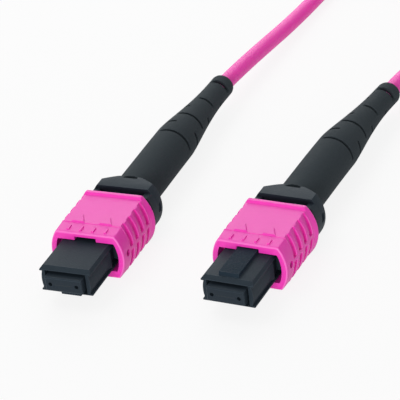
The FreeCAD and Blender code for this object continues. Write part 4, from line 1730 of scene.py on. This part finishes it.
@dataclass
class Connector:
    """One whole connector, built around its frame nodes."""

    placement: Placement
    ferrule_travel: float = 0.8
    sleeve_travel: float = 2.4
    sleeve_spring_x: float = 4.775
    kept: dict[str, Finish] = field(default_factory=lambda: {
        "ferrule_boot": SOFT_RUBBER, "pin_keeper": KEEPER_PLASTIC, "crimp_ring": CRIMP_BRASS})

    @property
    def boot(self) -> StrainBoot:
        """The boot, which the cable runs through."""
        return StrainBoot(self.placement)

    def springs(self) -> list[CoilSpring]:
        """The ferrule's spring and the sleeve's two.

        Returns:
            The springs, still to be built.
        """
        found = [CoilSpring(
            self.placement, stem="ferrule_spring", joint="ferrule_push", travel=self.ferrule_travel,
            half_width=2.95, half_height=1.45, middle=0.0, front=10.0, rear=18.0, wire=0.3, turns=8)]
        for side in Side:
            sign = -1 if side is Side.LEFT else 1
            found.append(CoilSpring(
                self.placement, stem=f"sleeve_spring_{side.value}", joint="sleeve_slide",
                travel=self.sleeve_travel, half_width=0.5, half_height=0.5,
                middle=sign * self.sleeve_spring_x, front=12.5, rear=19.6, wire=0.16, turns=14))
        return found

    def build(self) -> list[bpy.types.Object]:
        """Build and dress every piece.

        Returns:
            The pieces.
        """
        place = self.placement
        pieces = Housing(place).build()
        pieces.append(CouplingSleeve(place).build())
        pieces.append(self.boot.build())
        pieces.append(FibreRibbon(place, self.ferrule_travel).build())
        pieces += [spring.build() for spring in self.springs()]
        for stem, finish in self.kept.items():
            node = bpy.data.objects[place.named(stem)]
            finish.dress(node)
            pieces.append(node)
        return pieces


# Cable

# Middle of the put-away coil on the floor
COIL_MIDDLE: Point = (10.6, 111.4)


@dataclass
class Cable:
    """The free cable: out of one boot, along the floor, round the coil and into the other boot."""

    boots: dict[End, StrainBoot]
    diameter: float = 3.0
    held: float = 20.0
    # The coil: turns, radii, heights of its two layers and the share of a turn in which it climbs
    turns: float = 6.5
    outer_turn: float = 22.2
    inner_turn: float = 12.4
    layers: Span = (1.97, 5.03)
    climb: float = 0.6
    # The smooth line through the points, which runs at this share of their radius
    ease: float = 0.988
    points_per_turn: int = 24
    line_order: int = 3
    line_steps: int = 6
    bevel_steps: int = 8
    # Free length in metres, and the two leads along the floor
    length: float = 0.904
    lead_down: tuple[Place, ...] = (
        (-14.33, 41.0, 4.15), (-14.06, 50.0, 3.4), (-13.18, 66.7, 2.1),
        (-12.4, 88.0, 1.6), (-11.6, 104.4, 1.95))
    lead_up: tuple[Place, ...] = (
        (32.8, 104.4, 4.9), (28.4, 90.0, 3.0), (21.2, 72.0, 1.7),
        (18.2, 52.0, 3.3), (17.1, 43.0, 4.1))

    def held_points(self, end: End) -> list[Vector]:
        """Points inside a boot, from the deepest to its tip.

        Args:
            end: The boot's end of the cable.

        Returns:
            The points, in metres.
        """
        boot = self.boots[end]
        return [boot.placement.at(boot.middle(z), 0, z)
                for z in (boot.rear - self.held, boot.rear - self.held / 2, boot.rear)]

    def coil_points(self) -> list[Vector]:
        """Points round the coil: inwards along the floor, then outwards on top of that.

        Returns:
            The points, in metres.
        """
        points = []
        half = self.turns / 2
        low, high = self.layers
        count = round(self.turns * self.points_per_turn)
        for place in range(count + 1):
            turn = self.turns * place / count
            share = turn / half if turn < half else (self.turns - turn) / half
            radius = (self.outer_turn + (self.inner_turn - self.outer_turn) * share) / self.ease
            angle = math.pi - FULL_TURN * turn
            z = low + (high - low) * smooth((turn - half) / self.climb + 0.5)
            points.append(Vector((COIL_MIDDLE[0] + radius * math.cos(angle),
                                  COIL_MIDDLE[1] + radius * math.sin(angle), z)) * MM)
        return points

    def build(self, tie: bpy.types.Object) -> bpy.types.Object:
        """The cable as one smooth line.

        Args:
            tie: The strap round its coil; not used.

        Returns:
            The cable.
        """
        points = self.held_points(End.KEY_DOWN)
        points += [Vector(point) * MM for point in self.lead_down]
        points += self.coil_points()
        points += [Vector(point) * MM for point in self.lead_up]
        points += reversed(self.held_points(End.KEY_UP))
        curve = bpy.data.curves.new("cable", "CURVE")
        curve.dimensions = "3D"
        # A bevel of one metre, which each point's radius brings down to the cable's
        curve.bevel_depth = 1.0
        curve.bevel_resolution = self.bevel_steps
        curve.resolution_u = self.line_steps
        curve.use_fill_caps = True
        spline = curve.splines.new("NURBS")
        spline.points.add(len(points) - 1)
        for control, point in zip(spline.points, points):
            control.co = (*point, 1.0)
            control.radius = self.diameter / 2 * MM
        spline.order_u = self.line_order
        spline.use_endpoint_u = True
        piece = bpy.data.objects.new("cable_jacket", curve)
        bpy.context.scene.collection.objects.link(piece)
        nodes = ["cable_coil"]
        nodes += [f"{stem}_{end.value}" for stem in ("cable_tail", "cable_lead") for end in End]
        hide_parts(*nodes)
        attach(piece, CABLE_BODY)
        self.diameter * MM
        MAGENTA_JACKET.dress(piece)
        return piece


@dataclass
class CoilTie:
    """Hook-and-loop strap round the coil's turns, its end pressed down on itself."""

    inner: float = 10.4
    outer: float = 24.0
    low: float = 0.22
    high: float = 6.85
    corner: float = 1.6
    thickness: float = 0.4
    width: float = 4.8
    edge: float = 0.12
    # The end that lies on the strap itself: shares of the way round, and its lift in thicknesses
    overlap: float = 0.24
    lift_start: float = 0.9
    lift_length: float = 0.1
    lift: float = 1.05
    sharp: float = 40.0
    steps: int = 120

    def loop_point(self, share: float) -> tuple[Vector, Vector]:
        """A point of the loop and its outward direction, as radius and height.

        Args:
            share: Share of the way round, from the middle of the top.

        Returns:
            The point and the direction.
        """
        half_r, half_z = (self.outer - self.inner) / 2, (self.high - self.low) / 2
        straight_r, straight_z = 2 * (half_r - self.corner), 2 * (half_z - self.corner)
        arc = math.pi / 2 * self.corner
        lengths = [straight_r / 2, arc, straight_z, arc, straight_r, arc, straight_z, arc, straight_r / 2]
        left = (share % 1.0) * sum(lengths)
        spot, turn = Vector((0.0, half_z)), 0.0
        for place, length in enumerate(lengths):
            along = Vector((math.cos(turn), -math.sin(turn)))
            outward = Vector((math.sin(turn), math.cos(turn)))
            step = min(left, length)
            if place % 2 == 0:
                spot = spot + along * step
            else:
                angle = step / self.corner
                centre = spot - outward * self.corner
                turn += angle
                outward = Vector((math.sin(turn), math.cos(turn)))
                spot = centre + outward * self.corner
            left -= step
            if left <= 0:
                break
        middle = Vector(((self.inner + self.outer) / 2, (self.low + self.high) / 2))
        return middle + spot, outward

    def build(self) -> bpy.types.Object:
        """The strap.

        Returns:
            The strap.
        """
        builder = MeshBuilder()
        half_w, half_t = self.width / 2, self.thickness / 2
        flat, side = half_w - self.edge, half_t / 2
        section = [(half_w, -side), (half_w, side), (flat, half_t), (-flat, half_t),
                   (-half_w, side), (-half_w, -side), (-flat, -half_t), (flat, -half_t)]
        rings = []
        for step in range(self.steps + 1):
            share = (1 + self.overlap) * step / self.steps
            spot, outward = self.loop_point(share)
            lift = self.lift * self.thickness * smooth((share - self.lift_start) / self.lift_length)
            ring = []
            for across, out in section:
                place = spot + outward * (out + lift)
                ring.append(Vector((COIL_MIDDLE[0] + across, COIL_MIDDLE[1] + place.x, place.y)))
            rings.append(ring)
        builder.loft(rings, capped=True)
        piece = builder.piece("coil_strap", Matrix.Scale(MM, 4), self.sharp)
        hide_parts("coil_tie")
        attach(piece, CABLE_BODY)
        BLACK_STRAP.dress(piece)
        return piece


# Studio


@dataclass(frozen=True)
class SoftLamp:
    """A large soft lamp: its place and size in metres, and its power in watts."""

    name: str
    place: Place
    size: float
    power: float


@dataclass
class Studio:
    """Pale floor, plain soft light and the photograph's camera: metres, radians, and the lens in mm."""

    floor_size: float = 3.0
    floor_white: float = 0.86
    floor_grey: Colour = (0.9, 0.9, 0.9, 1.0)
    world_strength: float = 0.36
    camera_place: Place = (0.12461, -0.25753, 0.1677)
    yaw: float = 0.4685
    elevation: float = 0.5262
    roll: float = -0.1255
    lens: float = 174.66
    sensor: float = 36.0
    nearest: float = 0.01
    lamps: tuple[SoftLamp, ...] = (
        SoftLamp("key", (0.11, -0.77, 0.16), size=0.35, power=3.85),
        SoftLamp("top", (-0.25, -0.02, 0.62), size=0.3, power=0.8),
        SoftLamp("back", (-0.234, 0.462, 0.3), size=0.6, power=2.0))
    aim: Place = (0.0, 0.0, 0.0)

    def floor(self) -> None:
        """A plain floor that keeps the shadow."""
        half = self.floor_size / 2
        corners = [(-half, -half, 0), (half, -half, 0), (half, half, 0), (-half, half, 0)]
        mesh = bpy.data.meshes.new("floor")
        mesh.from_pydata(corners, [], [(0, 1, 2, 3)])
        floor = bpy.data.objects.new("floor", mesh)
        bpy.context.scene.collection.objects.link(floor)
        material = bpy.data.materials.new("white_floor")
        material.use_nodes = True
        surface = Surface(material.node_tree)
        paper = surface.node("ShaderNodeBsdfDiffuse", None, {"Color": self.floor_grey})
        white = surface.node("ShaderNodeEmission", None, {"Color": WHITE, "Strength": 1.0})
        surface.split(surface.seen() * self.floor_white, paper, white, "ShaderNodeOutputMaterial")
        mesh.materials.append(material)

    def world(self) -> None:
        """Even light all round, and white where it is seen."""
        world = bpy.data.worlds.new("studio")
        world.use_nodes = True
        bpy.context.scene.world = world
        surface = Surface(world.node_tree)
        backgrounds = [surface.node("ShaderNodeBackground", None, {"Color": WHITE, "Strength": strength})
                       for strength in (self.world_strength, 1.0)]
        surface.split(surface.seen(), *backgrounds, "ShaderNodeOutputWorld")

    def light(self) -> None:
        """Hang the lamps, all turned to one point."""
        for lamp in self.lamps:
            data = bpy.data.lights.new(lamp.name, "AREA")
            data.size = lamp.size
            data.energy = lamp.power
            holder = bpy.data.objects.new(lamp.name, data)
            holder.location = lamp.place
            way = Vector(self.aim) - Vector(lamp.place)
            holder.rotation_euler = way.to_track_quat("-Z", "Y").to_euler()
            bpy.context.scene.collection.objects.link(holder)

    def camera(self) -> None:
        """The camera at the photograph's viewing angle."""
        data = bpy.data.cameras.new("camera")
        data.lens = self.lens
        data.sensor_width = self.sensor
        data.clip_start = self.nearest
        forward = Vector((-math.sin(self.yaw) * math.cos(self.elevation),
                          math.cos(self.yaw) * math.cos(self.elevation), -math.sin(self.elevation)))
        level = Vector((math.cos(self.yaw), math.sin(self.yaw), 0))
        upright = level.cross(forward)
        right = level * math.cos(self.roll) + upright * math.sin(self.roll)
        up = upright * math.cos(self.roll) - level * math.sin(self.roll)
        turn = Matrix((right, up, -forward)).transposed().to_4x4()
        camera = bpy.data.objects.new("camera", data)
        camera.matrix_world = Matrix.Translation(self.camera_place) @ turn
        bpy.context.scene.collection.objects.link(camera)
        bpy.context.scene.camera = camera

    def build(self) -> None:
        """Set up the whole studio."""
        self.floor()
        self.world()
        self.light()
        self.camera()
        bpy.context.scene.view_settings.view_transform = "Standard"


def main() -> None:
    """Load the frame, build every sub-assembly around it and report each piece."""
    logging.basicConfig(level=logging.INFO, format="%(name)s: %(message)s")
    for thing in list(bpy.data.objects):
        bpy.data.objects.remove(thing)
    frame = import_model()
    Studio().build()
    connectors = {end: Connector(Placement.of_end(frame["record"], end)) for end in End}
    pieces = [piece for connector in connectors.values() for piece in connector.build()]
    tie = CoilTie().build()
    cable = Cable({end: connector.boot for end, connector in connectors.items()}).build(tie)
    for piece in (*pieces, tie, cable):
        LOG.info("built %s", piece.name)


if __name__ == "__main__":
    main()
